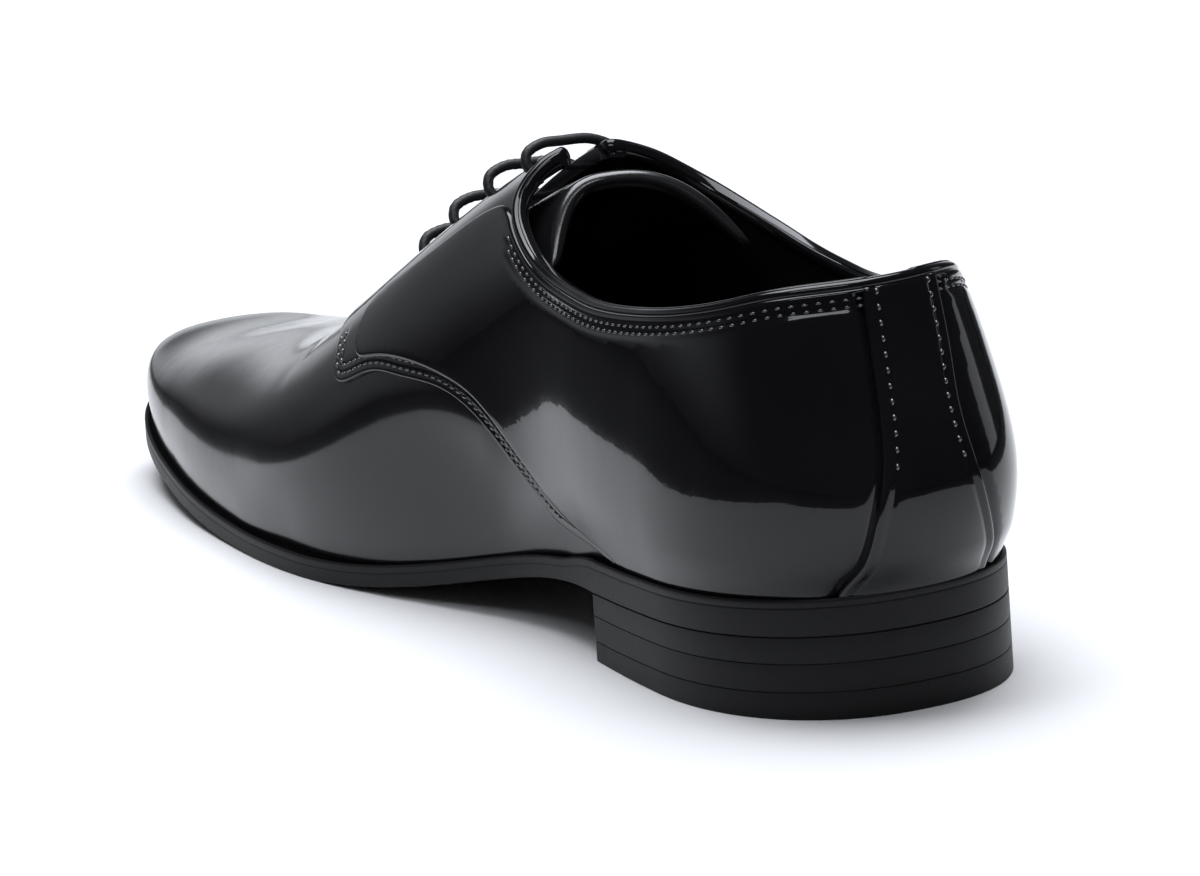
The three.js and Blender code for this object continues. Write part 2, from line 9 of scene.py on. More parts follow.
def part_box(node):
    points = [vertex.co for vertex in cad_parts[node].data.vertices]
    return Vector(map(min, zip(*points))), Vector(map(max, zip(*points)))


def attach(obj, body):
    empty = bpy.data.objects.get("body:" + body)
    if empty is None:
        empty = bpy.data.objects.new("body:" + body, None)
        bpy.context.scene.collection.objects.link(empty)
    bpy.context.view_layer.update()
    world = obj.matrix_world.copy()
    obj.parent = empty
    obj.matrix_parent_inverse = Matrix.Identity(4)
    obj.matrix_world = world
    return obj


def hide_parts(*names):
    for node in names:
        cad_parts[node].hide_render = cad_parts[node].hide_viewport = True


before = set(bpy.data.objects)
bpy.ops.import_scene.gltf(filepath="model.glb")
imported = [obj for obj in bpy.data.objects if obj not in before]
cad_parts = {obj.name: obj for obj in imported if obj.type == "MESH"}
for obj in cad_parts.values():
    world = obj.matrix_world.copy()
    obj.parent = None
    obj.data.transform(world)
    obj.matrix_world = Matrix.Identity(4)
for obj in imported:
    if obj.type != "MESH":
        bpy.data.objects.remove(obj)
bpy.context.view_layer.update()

# Millimetres are used until a mesh is made. Here y runs from the heel's back to the toe,
# x from the heel's middle to the lateral side, and "around" from 1 at the sole's edge to 0 at the ridge.
MM = 0.001

# Driving sizes of the last and the sole
SOLE_LENGTH = 304.0
BALL_WIDTH = 96.5
INSTEP_HEIGHT = 93.0
HEEL_HEIGHT = 24.5
SEAT_DROP = 3.5
HEEL_LENGTH = 77.0
BREAST_HOLLOW = 2.5
COUNTER_HEIGHT = 60.0
ARCH_HEIGHT = 14.0
TOE_SPRING = 12.0
SOLE_THICKNESS = 4.8
SEAT_THICKNESS = 7.7
SOLE_MARGIN = 1.8
WALL = 1.6
GAP = 0.3
TONGUE_THICKNESS = 3.2
LACE_DIAMETER = 2.2
LACE_LIFT = 4.8
LACE_LEAN = 0.6

TOE_SHARE, TOE_TOP_SHARE, HEEL_SHARE, SQUARENESS = 0.135, 0.06, 0.155, 2.3
FLAT_START, FLAT_END, TIP_SHIFT, TIP_BEND = 0.61, 0.66, -0.104, 0.55
ARCH_POWER, SEAT_BLEND, BACK_FADE = 2.4, 0.06, 0.3

# Heights of the leather over the last, and the shapes of its edges as pairs of distance and height
QUARTER_TOP = 1.0
PANEL_TOP = 1.9
LINING_DEPTH = -1.7
CUT_EDGE = [(0.15, 0.98), (0.3, 0.9), (0.42, 0.75), (0.5, 0.5), (0.52, -0.7)]
PANEL_EDGE = [(0.25, 1.87), (0.5, 1.76), (0.75, 1.55), (0.95, 1.25), (1.05, 0.8)]


def table(columns, rows):
    names = columns.split()
    return {name: np.array([row[k] for row in rows], float) for k, name in enumerate(names)}


OUTLINE = table("along medial lateral", [
    (0.0, 0.365, 0.363), (0.12, 0.365, 0.363), (0.24, 0.337, 0.365), (0.36, 0.311, 0.378), (0.48, 0.399, 0.446),
    (0.6, 0.48, 0.518), (0.72, 0.471, 0.518), (0.82, 0.43, 0.456), (0.9, 0.378, 0.321), (1.0, 0.347, 0.212)])
SECTIONS = table(
    "along height ridge bulge_medial bulge_lateral shoulder_medial shoulder_lateral crown_medial crown_lateral turn", [
        (0.0, 1.1, 0.0, 0.057, 0.057, 0.82, 0.82, 0.55, 0.55, 0.35),
        (0.12, 1.1, 0.0, 0.052, 0.052, 0.82, 0.82, 0.55, 0.55, 0.35),
        (0.25, 1.1, -0.01, 0.067, 0.062, 0.87, 0.87, 0.5, 0.5, 0.35),
        (0.36, 1.05, -0.031, 0.062, 0.052, 0.885, 0.83, 0.45, 0.45, 0.35),
        (0.45, 0.93, -0.052, 0.057, 0.041, 0.9, 0.8, 0.42, 0.4, 0.4),
        (0.54, 0.755, -0.062, 0.054, 0.041, 0.9, 0.8, 0.42, 0.35, 0.42),
        (0.62, 0.602, -0.062, 0.037, 0.041, 0.895, 0.84, 0.37, 0.33, 0.45),
        (0.72, 0.458, -0.062, 0.031, 0.031, 0.915, 0.9, 0.45, 0.38, 0.5),
        (0.82, 0.395, -0.067, 0.031, 0.031, 0.95, 0.95, 0.52, 0.46, 0.55),
        (0.92, 0.345, -0.073, 0.031, 0.026, 0.975, 0.96, 0.58, 0.55, 0.6),
        (1.0, 0.365, -0.073, 0.021, 0.021, 1.0, 1.0, 0.6, 0.6, 0.6)])
BACK = table("up forward", [(-0.4, 0), (0, -0.017), (0.3, -0.117), (0.6, -0.017), (1, 0.133), (1.4, 0.217)])

# Seams and edges, as places along and around
QUARTER_FRONT = [
    (0.19, 1.05), (0.22, 1.0), (0.255, 0.975), (0.31, 0.925), (0.36, 0.845), (0.4, 0.765), (0.44, 0.705),
    (0.48, 0.662), (0.52, 0.625), (0.556, 0.603), (0.566, 0.53), (0.58, 0.45), (0.592, 0.36), (0.597, 0.25),
    (0.598, 0.12), (0.592, 0.068)]
FACING = [(0.55, 0.063), (0.5, 0.068), (0.45, 0.075), (0.41, 0.08)]
TOPLINE_MEDIAL = [
    (0.398, 0.085), (0.396, 0.16), (0.396, 0.24), (0.394, 0.31), (0.386, 0.375), (0.371, 0.435), (0.343, 0.5),
    (0.3, 0.546), (0.24, 0.571), (0.18, 0.564), (0.12, 0.541), (0.07, 0.512), (0.035, 0.486), (0.012, 0.476)]
TOPLINE_LATERAL = [
    (0.4, 0.085), (0.4, 0.16), (0.4, 0.24), (0.395, 0.33), (0.382, 0.4), (0.36, 0.465), (0.324, 0.53),
    (0.28, 0.585), (0.235, 0.612), (0.18, 0.605), (0.12, 0.567), (0.07, 0.524), (0.035, 0.489), (0.012, 0.476)]
BACK_TOP = (0.00593, 0.475)
PANEL_FRONT = [
    (0.185, 1.05), (0.215, 0.982), (0.25, 0.955), (0.29, 0.915), (0.33, 0.858), (0.365, 0.797), (0.4, 0.731),
    (0.435, 0.682), (0.47, 0.637), (0.5, 0.603), (0.517, 0.59), (0.529, 0.572), (0.533, 0.545), (0.537, 0.5),
    (0.539, 0.46), (0.534, 0.432), (0.515, 0.413), (0.49, 0.402), (0.47, 0.39), (0.45, 0.373), (0.43, 0.358),
    (0.416, 0.355), (0.405, 0.362), (0.397, 0.38)]
STAY = table("up medial lateral", [
    (-0.2, 0.18, 0.185), (0, 0.168, 0.175), (0.11, 0.136, 0.168), (0.25, 0.12, 0.136), (0.39, 0.1, 0.112),
    (0.54, 0.08, 0.105), (0.73, 0.063, 0.12), (0.97, 0.05, 0.127), (1.2, 0.04, 0.13)])
EYELETS = [(0.56, 0.917), (0.514, 1.0), (0.468, 1.0), (0.422, 0.833)]
ARCH = [(0.86, 0.8), (0.5, 1), (0, 0.95), (-0.5, 1), (-0.86, 0.8)]
EYELET_AROUND = 0.165
LACE_END_AROUND = 0.25
LIFTS = [(0.0, 0.0), (0.232, 0.172), (0.465, 0.386), (0.686, 0.571)]


def spline(x, y):
    """Natural cubic spline through the points, flat past its ends."""
    n = len(x)
    h = np.diff(x)
    system = np.eye(n)
    right = np.zeros(n)
    for i in range(1, n - 1):
        system[i, i - 1:i + 2] = h[i - 1], 2 * (h[i - 1] + h[i]), h[i]
        right[i] = 6 * ((y[i + 1] - y[i]) / h[i] - (y[i] - y[i - 1]) / h[i - 1])
    bend = np.linalg.solve(system, right)

    def at(value):
        p = np.clip(value, x[0], x[-1])
        k = np.clip(np.searchsorted(x, p) - 1, 0, n - 2)
        width = h[k]
        a = (x[k + 1] - p) / width
        b = 1 - a
        return a * y[k] + b * y[k + 1] + ((a ** 3 - a) * bend[k] + (b ** 3 - b) * bend[k + 1]) * width ** 2 / 6
    return at


def smooth(t):
    u = np.clip(t, 0, 1)
    return u * u * (3 - 2 * u)


def end_cap(share):
    return np.maximum(1 - np.clip(share, 0, 1) ** SQUARENESS, 0) ** (1 / SQUARENESS)


medial_width = spline(OUTLINE["along"], OUTLINE["medial"])
lateral_width = spline(OUTLINE["along"], OUTLINE["lateral"])
back_curve = spline(BACK["up"], BACK["forward"])
section = {name: spline(SECTIONS["along"], values) for name, values in SECTIONS.items() if name != "along"}
stay_medial = spline(STAY["up"], STAY["medial"])
stay_lateral = spline(STAY["up"], STAY["lateral"])


def sole_width(y, margin):
    """Medial x, lateral x, axis x and end rounding of the sole at y, with its edge drawn in by a margin."""
    along = y / SOLE_LENGTH
    inner = (y - margin) / (SOLE_LENGTH - 2 * margin)
    rounding = end_cap((HEEL_SHARE - inner) / HEEL_SHARE) * end_cap((inner - 1 + TOE_SHARE) / TOE_SHARE)
    axis = TIP_SHIFT * BALL_WIDTH * smooth((along - TIP_BEND) / (1 - TIP_BEND))
    medial = axis - (medial_width(along) * BALL_WIDTH - margin + axis) * rounding
    lateral = axis + (lateral_width(along) * BALL_WIDTH - margin - axis) * rounding
    return medial, lateral, axis, rounding


def sole_under(y):
    along = np.asarray(y, float) / SOLE_LENGTH
    breast = HEEL_LENGTH / SOLE_LENGTH
    seat = HEEL_HEIGHT - SEAT_THICKNESS
    joint = seat - (seat - ARCH_HEIGHT) * along / breast
    lift = np.clip((FLAT_START - along) / (FLAT_START - breast), 0, 1)
    arch = ARCH_HEIGHT * np.sin(np.pi / 2 * lift) ** ARCH_POWER
    spring = TOE_SPRING * (np.maximum(along - FLAT_END, 0) / (1 - FLAT_END)) ** 2
    return np.where(along < breast, joint, np.where(along < FLAT_START, arch, spring))


def sole_top(y):
    seat = HEEL_HEIGHT - SEAT_DROP * np.minimum(y / HEEL_LENGTH, 1.3)
    blend = smooth((y - HEEL_LENGTH) / (SEAT_BLEND * SOLE_LENGTH))
    return seat * (1 - blend) + (sole_under(y) + SOLE_THICKNESS) * blend


def station_y(station, margin):
    return margin + (SOLE_LENGTH - 2 * margin) * (1 - np.cos(np.pi * np.asarray(station))) / 2


def station_of(along):
    share = (np.maximum(np.asarray(along) * SOLE_LENGTH, SOLE_MARGIN) - SOLE_MARGIN) / (SOLE_LENGTH - 2 * SOLE_MARGIN)
    return np.arccos(1 - 2 * share) / np.pi


def last_point(station, around):
    """Points of the last's surface, for stations from 0 to 1 and around from -1 to 1."""
    station, around = np.broadcast_arrays(np.asarray(station, float), np.asarray(around, float))
    y = station_y(station, SOLE_MARGIN)
    along = y / SOLE_LENGTH
    inner = (y - SOLE_MARGIN) / (SOLE_LENGTH - 2 * SOLE_MARGIN)
    medial, lateral, axis, rounding = sole_width(y, SOLE_MARGIN)
    low = sole_top(y)
    on_medial = around < 0
    sign = np.where(on_medial, -1, 1)

    def side(name):
        return np.where(on_medial, section[name + "_medial"](along), section[name + "_lateral"](along))

    height = np.maximum(section["height"](along) * INSTEP_HEIGHT - low, 0)
    height = height * end_cap((inner - 1 + TOE_TOP_SHARE) / TOE_TOP_SHARE)
    ridge = section["ridge"](along) * BALL_WIDTH * rounding + axis * (1 - rounding)
    half = sign * (np.where(on_medial, medial, lateral) - ridge)
    bulge = side("bulge") * BALL_WIDTH * rounding
    t = np.maximum(1 - np.abs(around), 0)
    u = 1 - t
    reach = u ** 4 * half + 4 * t * u ** 3 * (half + bulge) + 6 * t * t * u * u * (half * side("shoulder") + 0.6 * bulge)
    reach = reach + 4 * t ** 3 * u * half * side("crown")
    rise = 4 * t * u ** 3 * section["turn"](along) + 6 * t * t * u * u * 0.9 + 4 * t ** 3 * u + t ** 4
    z = low + rise * height - np.maximum(np.abs(around) - 1, 0) * 30
    fade = np.clip(1 - along / BACK_FADE, 0, 1) ** 2
    push = back_curve((z - HEEL_HEIGHT) / COUNTER_HEIGHT) * COUNTER_HEIGHT * fade
    return np.stack([ridge + sign * reach, y + push, z], -1)


def unit(vectors):
    return vectors / np.maximum(np.linalg.norm(vectors, axis=-1, keepdims=True), 1e-12)


def surface(station, around):
    """Points, outward normals and the two slopes of the last."""
    station, around = np.broadcast_arrays(np.asarray(station, float), np.asarray(around, float))
    ds, dv, edge = 1.5e-3, 2e-3, 4e-3
    s = np.clip(station, edge, 1 - edge)
    v = np.clip(around, -0.985, 0.985)
    along = (last_point(s + ds, around) - last_point(s - ds, around)) / (2 * ds)
    across = (last_point(s, v + dv) - last_point(s, v - dv)) / (2 * dv)
    normal = unit(np.cross(across, along))
    normal[..., 0] *= np.clip(station / edge, 0, 1)
    return last_point(station, around), unit(normal), along, across


# The frame moves the last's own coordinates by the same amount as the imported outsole
def frame_shift():
    low, high = (np.array(corner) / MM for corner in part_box("outsole"))
    y = np.linspace(0, SOLE_LENGTH, 4001)
    medial, lateral, _, _ = sole_width(y, 0.0)
    middle = (low[0] + high[0]) / 2 - (medial.min() + lateral.max()) / 2
    return np.array([middle, low[1], 0.0])


SHIFT = frame_shift()


def make_mesh(name, points, faces, material, replaces=()):
    mesh = bpy.data.meshes.new(name)
    mesh.from_pydata(((np.asarray(points) + SHIFT) * MM).tolist(), [], faces)
    mesh.shade_smooth()
    mesh.materials.append(material)
    piece = bpy.data.objects.new(name, mesh)
    bpy.context.scene.collection.objects.link(piece)
    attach(piece, "root")
    if replaces:
        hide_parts(*replaces)
    return piece


def grid_faces(rows, columns, wrap_rows=False, wrap_columns=False, start=0):
    i = np.arange(rows if wrap_rows else rows - 1)
    j = np.arange(columns if wrap_columns else columns - 1)
    i, j = np.meshgrid(i, j, indexing="ij")
    a = i * columns + j
    b = i * columns + (j + 1) % columns
    c = (i + 1) % rows * columns + (j + 1) % columns
    d = (i + 1) % rows * columns + j
    return (np.stack([a, b, c, d], -1).reshape(-1, 4) + start)


def join(parts):
    """Joins (points, faces) pairs into one."""
    points, faces, count = [], [], 0
    for some_points, some_faces in parts:
        points.append(np.asarray(some_points).reshape(-1, 3))
        faces.extend((np.asarray(some_faces) + count).tolist())
        count += len(points[-1])
    return np.concatenate(points), faces


def dense(places, sign, count=700):
    """A smooth curve through places (along, around) on one side, as stations and arounds."""
    s = station_of([place[0] for place in places])
    v = sign * np.array([place[1] for place in places])
    points = last_point(s, v)
    length = np.concatenate([[0], np.cumsum(np.linalg.norm(np.diff(points, axis=0), axis=1))])
    t = np.linspace(0, length[-1], count)
    return np.stack([spline(length, s)(t), spline(length, v)(t)], -1)


def even(curve, pitch, closed=False):
    """The curve again with points an even distance apart."""
    if closed:
        curve = np.concatenate([curve, curve[:1]])
    points = last_point(curve[:, 0], curve[:, 1])
    length = np.concatenate([[0], np.cumsum(np.linalg.norm(np.diff(points, axis=0), axis=1))])
    count = max(int(round(length[-1] / pitch)), 3)
    t = np.linspace(0, length[-1], count + 1)
    t = t[:-1] if closed else t
    return np.stack([np.interp(t, length, curve[:, 0]), np.interp(t, length, curve[:, 1])], -1)


def along_curve(curve, closed=False):
    """Points, tangents, normals and sideways directions of a curve on the last."""
    points, normals, _, _ = surface(curve[:, 0], curve[:, 1])
    if closed:
        tangents = np.roll(points, -1, 0) - np.roll(points, 1, 0)
    else:
        tangents = np.gradient(points, axis=0)
    tangents = unit(tangents)
    return points, tangents, normals, unit(np.cross(normals, tangents))


def shifted(curve, distance):
    """The curve moved sideways over the last's surface."""
    _, _, _, side = along_curve(curve)
    moved = curve.copy()
    steps = max(int(abs(distance) / 0.8), 1)
    for _ in range(steps):
        _, _, slope_s, slope_v = surface(moved[:, 0], moved[:, 1])
        a = (slope_s * slope_s).sum(-1)
        b = (slope_s * slope_v).sum(-1)
        c = (slope_v * slope_v).sum(-1)
        step = side * distance / steps
        p = (step * slope_s).sum(-1)
        q = (step * slope_v).sum(-1)
        whole = a * c - b * b
        moved = moved + np.stack([(c * p - b * q) / whole, (a * q - b * p) / whole], -1)
    return moved


class Plane:
    """One side of the last rolled out flat, near enough to true lengths to place a mesh's points."""

    def __init__(self, sign):
        self.sign = sign
        self.s = np.linspace(0, 1, 500)
        self.v = np.linspace(0, 1.06, 180)
        points = last_point(self.s[:, None], sign * self.v[None, :])
        middle = int(0.62 / 1.06 * 179)
        run = np.linalg.norm(np.diff(points[:, middle], axis=0), axis=1)
        self.across = np.concatenate([[0], np.cumsum(run)])
        rise = np.linalg.norm(np.diff(points, axis=1), axis=2)
        rise = np.concatenate([np.zeros((len(self.s), 1)), np.cumsum(rise, axis=1)], axis=1)
        self.up = rise - rise[:, middle:middle + 1]

    def flat(self, curve):
        s = np.clip(curve[:, 0], 0, 1) * 499
        v = np.clip(np.abs(curve[:, 1]), 0, 1.06) / 1.06 * 179
        i, j = np.minimum(s.astype(int), 498), np.minimum(v.astype(int), 178)
        a, b = s - i, v - j
        up = (self.up[i, j] * (1 - a) * (1 - b) + self.up[i + 1, j] * a * (1 - b)
              + self.up[i, j + 1] * (1 - a) * b + self.up[i + 1, j + 1] * a * b)
        return np.stack([np.interp(curve[:, 0], self.s, self.across), up], -1)

    def grid(self, low, high, pitch):
        columns = []
        for x in np.arange(low[0], high[0], pitch):
            s = np.interp(x, self.across, self.s)
            k = min(int(s * 499), 498)
            share = s * 499 - k
            up = self.up[k] * (1 - share) + self.up[k + 1] * share
            rises = np.arange(max(low[1], up[0]), min(high[1], up[-1]), pitch)
            columns.append(np.stack([np.full(len(rises), s), self.sign * np.interp(rises, up, self.v)], -1))
        return np.concatenate(columns)


PLANES = {-1: Plane(-1), 1: Plane(1)}


def inside(points, outline):
    """Which flat points lie inside a closed outline."""
    result = np.zeros(len(points), bool)
    following = np.roll(outline, -1, 0)
    for (x0, y0), (x1, y1) in zip(outline, following):
        crosses = (y0 > points[:, 1]) != (y1 > points[:, 1])
        if crosses.any():
            x = x0 + (points[crosses, 1] - y0) * (x1 - x0) / (y1 - y0)
            result[crosses] ^= points[crosses, 0] < x
    return result


def nearest(points, targets):
    """The distance from each point to the nearest target."""
    tree = KDTree(len(targets))
    for k, target in enumerate(targets.tolist()):
        tree.insert(target, k)
    tree.balance()
    return np.array([tree.find(point)[2] for point in points.tolist()])


def tuck(around):
    """Share of a layer's height that is left where the upper turns in at the sole."""
    return 1 - 0.62 * smooth((np.abs(around) - 0.93) / 0.07)


def panel(sign, loop, height, rim, pitch, grooves=(), drop=None):
    """A leather panel inside a closed loop on the last: a triangulated field and an edge that rounds down outside it.
    A groove is a curve with a depth and a width. Gives points and faces."""
    plane = PLANES[sign]
    loop = even(loop, 0.7 * pitch, closed=True)
    loop_flat = plane.flat(loop)
    loop_points, _, loop_normals, side = along_curve(loop, closed=True)
    turn = np.sum(loop_flat[:, 0] * np.roll(loop_flat[:, 1], -1) - np.roll(loop_flat[:, 0], -1) * loop_flat[:, 1])
    outward = side * (np.sign(turn) * sign)
    field = plane.grid(loop_flat.min(0), loop_flat.max(0), pitch)
    field = field[inside(plane.flat(field), loop_flat)]
    field = field[nearest(last_point(field[:, 0], field[:, 1]), loop_points) > 0.55 * pitch]
    lines = []
    for curve, _, width in grooves:
        curve = even(curve, 0.7 * pitch)
        rows = [shifted(curve, width * k) for k in (-2, -1, 0, 1, 2)]
        lines.append(np.concatenate(rows))
        centre = last_point(curve[:, 0], curve[:, 1])
        field = field[nearest(last_point(field[:, 0], field[:, 1]), centre) > 2 * width + 0.4 * pitch]
    for line in lines:
        line = line[inside(plane.flat(line), loop_flat)]
        line = line[nearest(last_point(line[:, 0], line[:, 1]), loop_points) > 0.3 * pitch]
        field = np.concatenate([field, line])
    places = np.concatenate([loop, field])
    n = len(loop)
    edges = [(k, (k + 1) % n) for k in range(n)]
    flat = [Vector(p) for p in plane.flat(places).tolist()]
    _, _, triangles, origins, _, _ = delaunay_2d_cdt(flat, edges, [], 1, 1e-5, True)
    triangles = np.array([[origins[k][0] for k in triangle] for triangle in triangles])
    triangles = triangles[inside(plane.flat(places)[triangles].mean(1), loop_flat)]
    points, normals, _, _ = surface(places[:, 0], places[:, 1])
    lift = height * tuck(places[:, 1])
    for curve, depth, width in grooves:
        curve = even(curve, 0.3)
        away = nearest(points, last_point(curve[:, 0], curve[:, 1]))
        lift -= depth * np.exp(-(away / width) ** 2)
    points = points + normals * lift[:, None]
    corner = points[triangles]
    faces_up = np.cross(corner[:, 1] - corner[:, 0], corner[:, 2] - corner[:, 0])
    wrong = (faces_up * normals[triangles[:, 0]]).sum(-1) < 0
    triangles[wrong] = triangles[wrong][:, ::-1]
    rows = [points[:n]]
    falls = np.zeros(n) if drop is None else drop(loop)
    share = tuck(loop[:, 1])
    for distance, level in rim:
        level = level * share - falls * (distance == rim[-1][0])
        rows.append(loop_points + outward * distance + loop_normals * level[:, None])
    edge_points = np.stack(rows, 1)
    faces = grid_faces(n, len(rows), wrap_rows=True)
    a, b, c = (edge_points.reshape(-1, 3)[faces[:, k]] for k in (0, 1, 2))
    facing = (np.cross(b - a, c - a) * (np.repeat(loop_normals + outward, len(rows), 0)[faces[:, 0]])).sum(-1)
    if (facing < 0).mean() > 0.5:
        faces = faces[:, ::-1]
    merged_points = np.concatenate([points, edge_points[:, 1:].reshape(-1, 3)])
    index = np.empty((n, len(rows)), int)
    index[:, 0] = np.arange(n)
    index[:, 1:] = len(points) + np.arange(n * (len(rows) - 1)).reshape(n, -1)
    faces = index.reshape(-1)[faces]
    return merged_points, triangles.tolist() + faces.tolist()


def swept(curve, profile, closed=False, taper=0.0):
    """A band along a curve on the last: the profile gives pairs of sideways distance and height."""
    points, _, normals, side = along_curve(curve, closed)
    scale = np.ones(len(points))
    if taper:
        length = np.concatenate([[0], np.cumsum(np.linalg.norm(np.diff(points, axis=0), axis=1))])
        ends = np.clip(np.minimum(length, length[-1] - length) / taper, 0, 1)
        scale = np.sqrt(1 - (1 - ends) ** 2)
    middle = np.array(profile).mean(0)
    rows = []
    for distance, height in profile:
        d = middle[0] + (distance - middle[0]) * scale
        h = middle[1] + (height - middle[1]) * scale
        rows.append(points + side * d[:, None] + normals * h[:, None])
    return np.stack(rows, 1), grid_faces(len(points), len(profile), wrap_rows=closed)


def tube(route, radius, sides=12, ripple=0.0, lay=3.0):
    """A round tube along a route with closed ends; a ripple raises twisted strands."""
    tangents = unit(np.gradient(route, axis=0))
    across = np.cross(tangents[0], [0.3, 0.2, 1.0])
    length = np.concatenate([[0], np.cumsum(np.linalg.norm(np.diff(route, axis=0), axis=1))])
    rows = []
    angles = np.arange(sides) / sides * 2 * np.pi
    for k, (point, tangent) in enumerate(zip(route, tangents)):
        across = across - tangent * np.dot(across, tangent)
        across = across / np.linalg.norm(across)
        other = np.cross(tangent, across)
        twist = 2 * np.pi * length[k] / lay
        wave = np.abs(np.sin(2 * angles + twist)) + np.abs(np.sin(2 * angles - twist))
        size = radius * (1 + ripple * (wave - 1.3))
        rows.append(point + np.outer(size * np.cos(angles), across) + np.outer(size * np.sin(angles), other))
    points = np.concatenate(rows + [route[:1], route[-1:]])
    faces = grid_faces(len(route), sides, wrap_columns=True).tolist()
    first, last = len(route) * sides, len(route) * sides + 1
    for k in range(sides):
        following = (k + 1) % sides
        faces.append([first, following, k])
        base = (len(route) - 1) * sides
        faces.append([last, base + k, base + following])
    return points, faces


def stitch_row(curve, height, pitch=1.8, length=1.35, radius=0.27):
    """Thread lying in short stitches along a curve, each a little sunk at its ends."""
    spots = even(curve, pitch)
    points, tangents, normals, side = along_curve(spots)
    points = points + normals * height
    rings, sides = 5, 6
    steps = np.linspace(-1, 1, rings)
    bulge = np.sqrt(np.maximum(1 - (steps * 0.96) ** 4, 0.02))
    angles = np.arange(sides) / sides * 2 * np.pi
    local = np.stack([
        np.repeat(steps * length / 2, sides),
        np.repeat(bulge * radius, sides) * np.tile(np.cos(angles), rings),
        np.repeat(bulge * radius, sides) * np.tile(np.sin(angles), rings) - np.repeat(steps ** 2, sides) * radius * 0.9,
    ], -1)
    placed = (points[:, None] + local[None, :, 0:1] * tangents[:, None] + local[None, :, 1:2] * side[:, None]
              + local[None, :, 2:3] * normals[:, None])
    faces = grid_faces(rings, sides, wrap_columns=True)
    caps = np.array([list(range(4)), [0, 3, 4, 5]])
    ends = np.concatenate([caps[:, ::-1], caps + (rings - 1) * sides])
    one = np.concatenate([faces, ends])
    count = rings * sides
    offsets = (np.arange(len(spots)) * count)[:, None, None]
    return placed.reshape(-1, 3), (one[None] + offsets).reshape(-1, 4)


# Materials

def material(name, color, roughness, coat=0.0, coat_roughness=0.03, specular=0.5, sheen=0.0):
    made = bpy.data.materials.new(name)
    made.use_nodes = True
    shader = made.node_tree.nodes["Principled BSDF"]
    shader.inputs["Base Color"].default_value = (*color, 1)
    shader.inputs["Roughness"].default_value = roughness
    shader.inputs["Coat Weight"].default_value = coat
    shader.inputs["Coat Roughness"].default_value = coat_roughness
    shader.inputs["Specular IOR Level"].default_value = specular
    shader.inputs["Sheen Weight"].default_value = sheen
    return made, shader


def texture(made, kind, scale, **settings):
    nodes, links = made.node_tree.nodes, made.node_tree.links
    place = nodes.get("place") or nodes.new("ShaderNodeTexCoord")
    place.name = "place"
    node = nodes.new(kind)
    links.new(place.outputs["Object"], node.inputs["Vector"])
    node.inputs["Scale"].default_value = scale
    for key, value in settings.items():
        node.inputs[key].default_value = value
    return node


def bump(made, shader, layers):
    """Stacks bumps; each layer is a texture output and a depth in millimetres."""
    nodes, links = made.node_tree.nodes, made.node_tree.links
    before = None
    for output, depth in layers:
        node = nodes.new("ShaderNodeBump")
        node.inputs["Strength"].default_value = 1
        node.inputs["Distance"].default_value = depth * MM
        links.new(output, node.inputs["Height"])
        if before:
            links.new(before.outputs["Normal"], node.inputs["Normal"])
        before = node
    links.new(before.outputs["Normal"], shader.inputs["Normal"])
    if "Coat Normal" in shader.inputs:
        links.new(before.outputs["Normal"], shader.inputs["Coat Normal"])


def vary(made, shader, source, socket, low, high):
    """Lets a texture move a socket between two numbers or colours."""
    nodes, links = made.node_tree.nodes, made.node_tree.links
    if isinstance(low, tuple):
        mix = nodes.new("ShaderNodeMix")
        mix.data_type = "RGBA"
        links.new(source, mix.inputs["Factor"])
        mix.inputs["A"].default_value = (*low, 1)
        mix.inputs["B"].default_value = (*high, 1)
        links.new(mix.outputs["Result"], shader.inputs[socket])
    else:
        spread = nodes.new("ShaderNodeMapRange")
        links.new(source, spread.inputs["Value"])
        spread.inputs["To Min"].default_value = low
        spread.inputs["To Max"].default_value = high
        links.new(spread.outputs["Result"], shader.inputs[socket])


def patent_leather(name, roughness, coat, coat_roughness, specular):
    made, shader = material(name, (0.0055, 0.0055, 0.006), roughness, coat, coat_roughness, specular)
    swell = texture(made, "ShaderNodeTexNoise", 55, Detail=1.0)
    peel = texture(made, "ShaderNodeTexNoise", 420, Detail=2.0)
    grain = texture(made, "ShaderNodeTexVoronoi", 1300)
    bump(made, shader, [(swell.outputs["Fac"], 0.11), (peel.outputs["Fac"], 0.012), (grain.outputs["Distance"], 0.0015)])
    vary(made, shader, swell.outputs["Fac"], "Base Color", (0.004, 0.004, 0.005), (0.008, 0.008, 0.009))
    vary(made, shader, peel.outputs["Fac"], "Roughness", roughness * 0.7, roughness * 1.4)
    return made


def sole_rubber():
    made, shader = material("sole_rubber", (0.0045, 0.0045, 0.005), 0.46, specular=0.2)
    grit = texture(made, "ShaderNodeTexNoise", 1500, Detail=3.0)
    cloud = texture(made, "ShaderNodeTexNoise", 90, Detail=2.0)
    bump(made, shader, [(cloud.outputs["Fac"], 0.03), (grit.outputs["Fac"], 0.012)])
    vary(made, shader, cloud.outputs["Fac"], "Base Color", (0.0035, 0.0035, 0.004), (0.0065, 0.0065, 0.007))
    vary(made, shader, grit.outputs["Fac"], "Roughness", 0.4, 0.54)
    return made


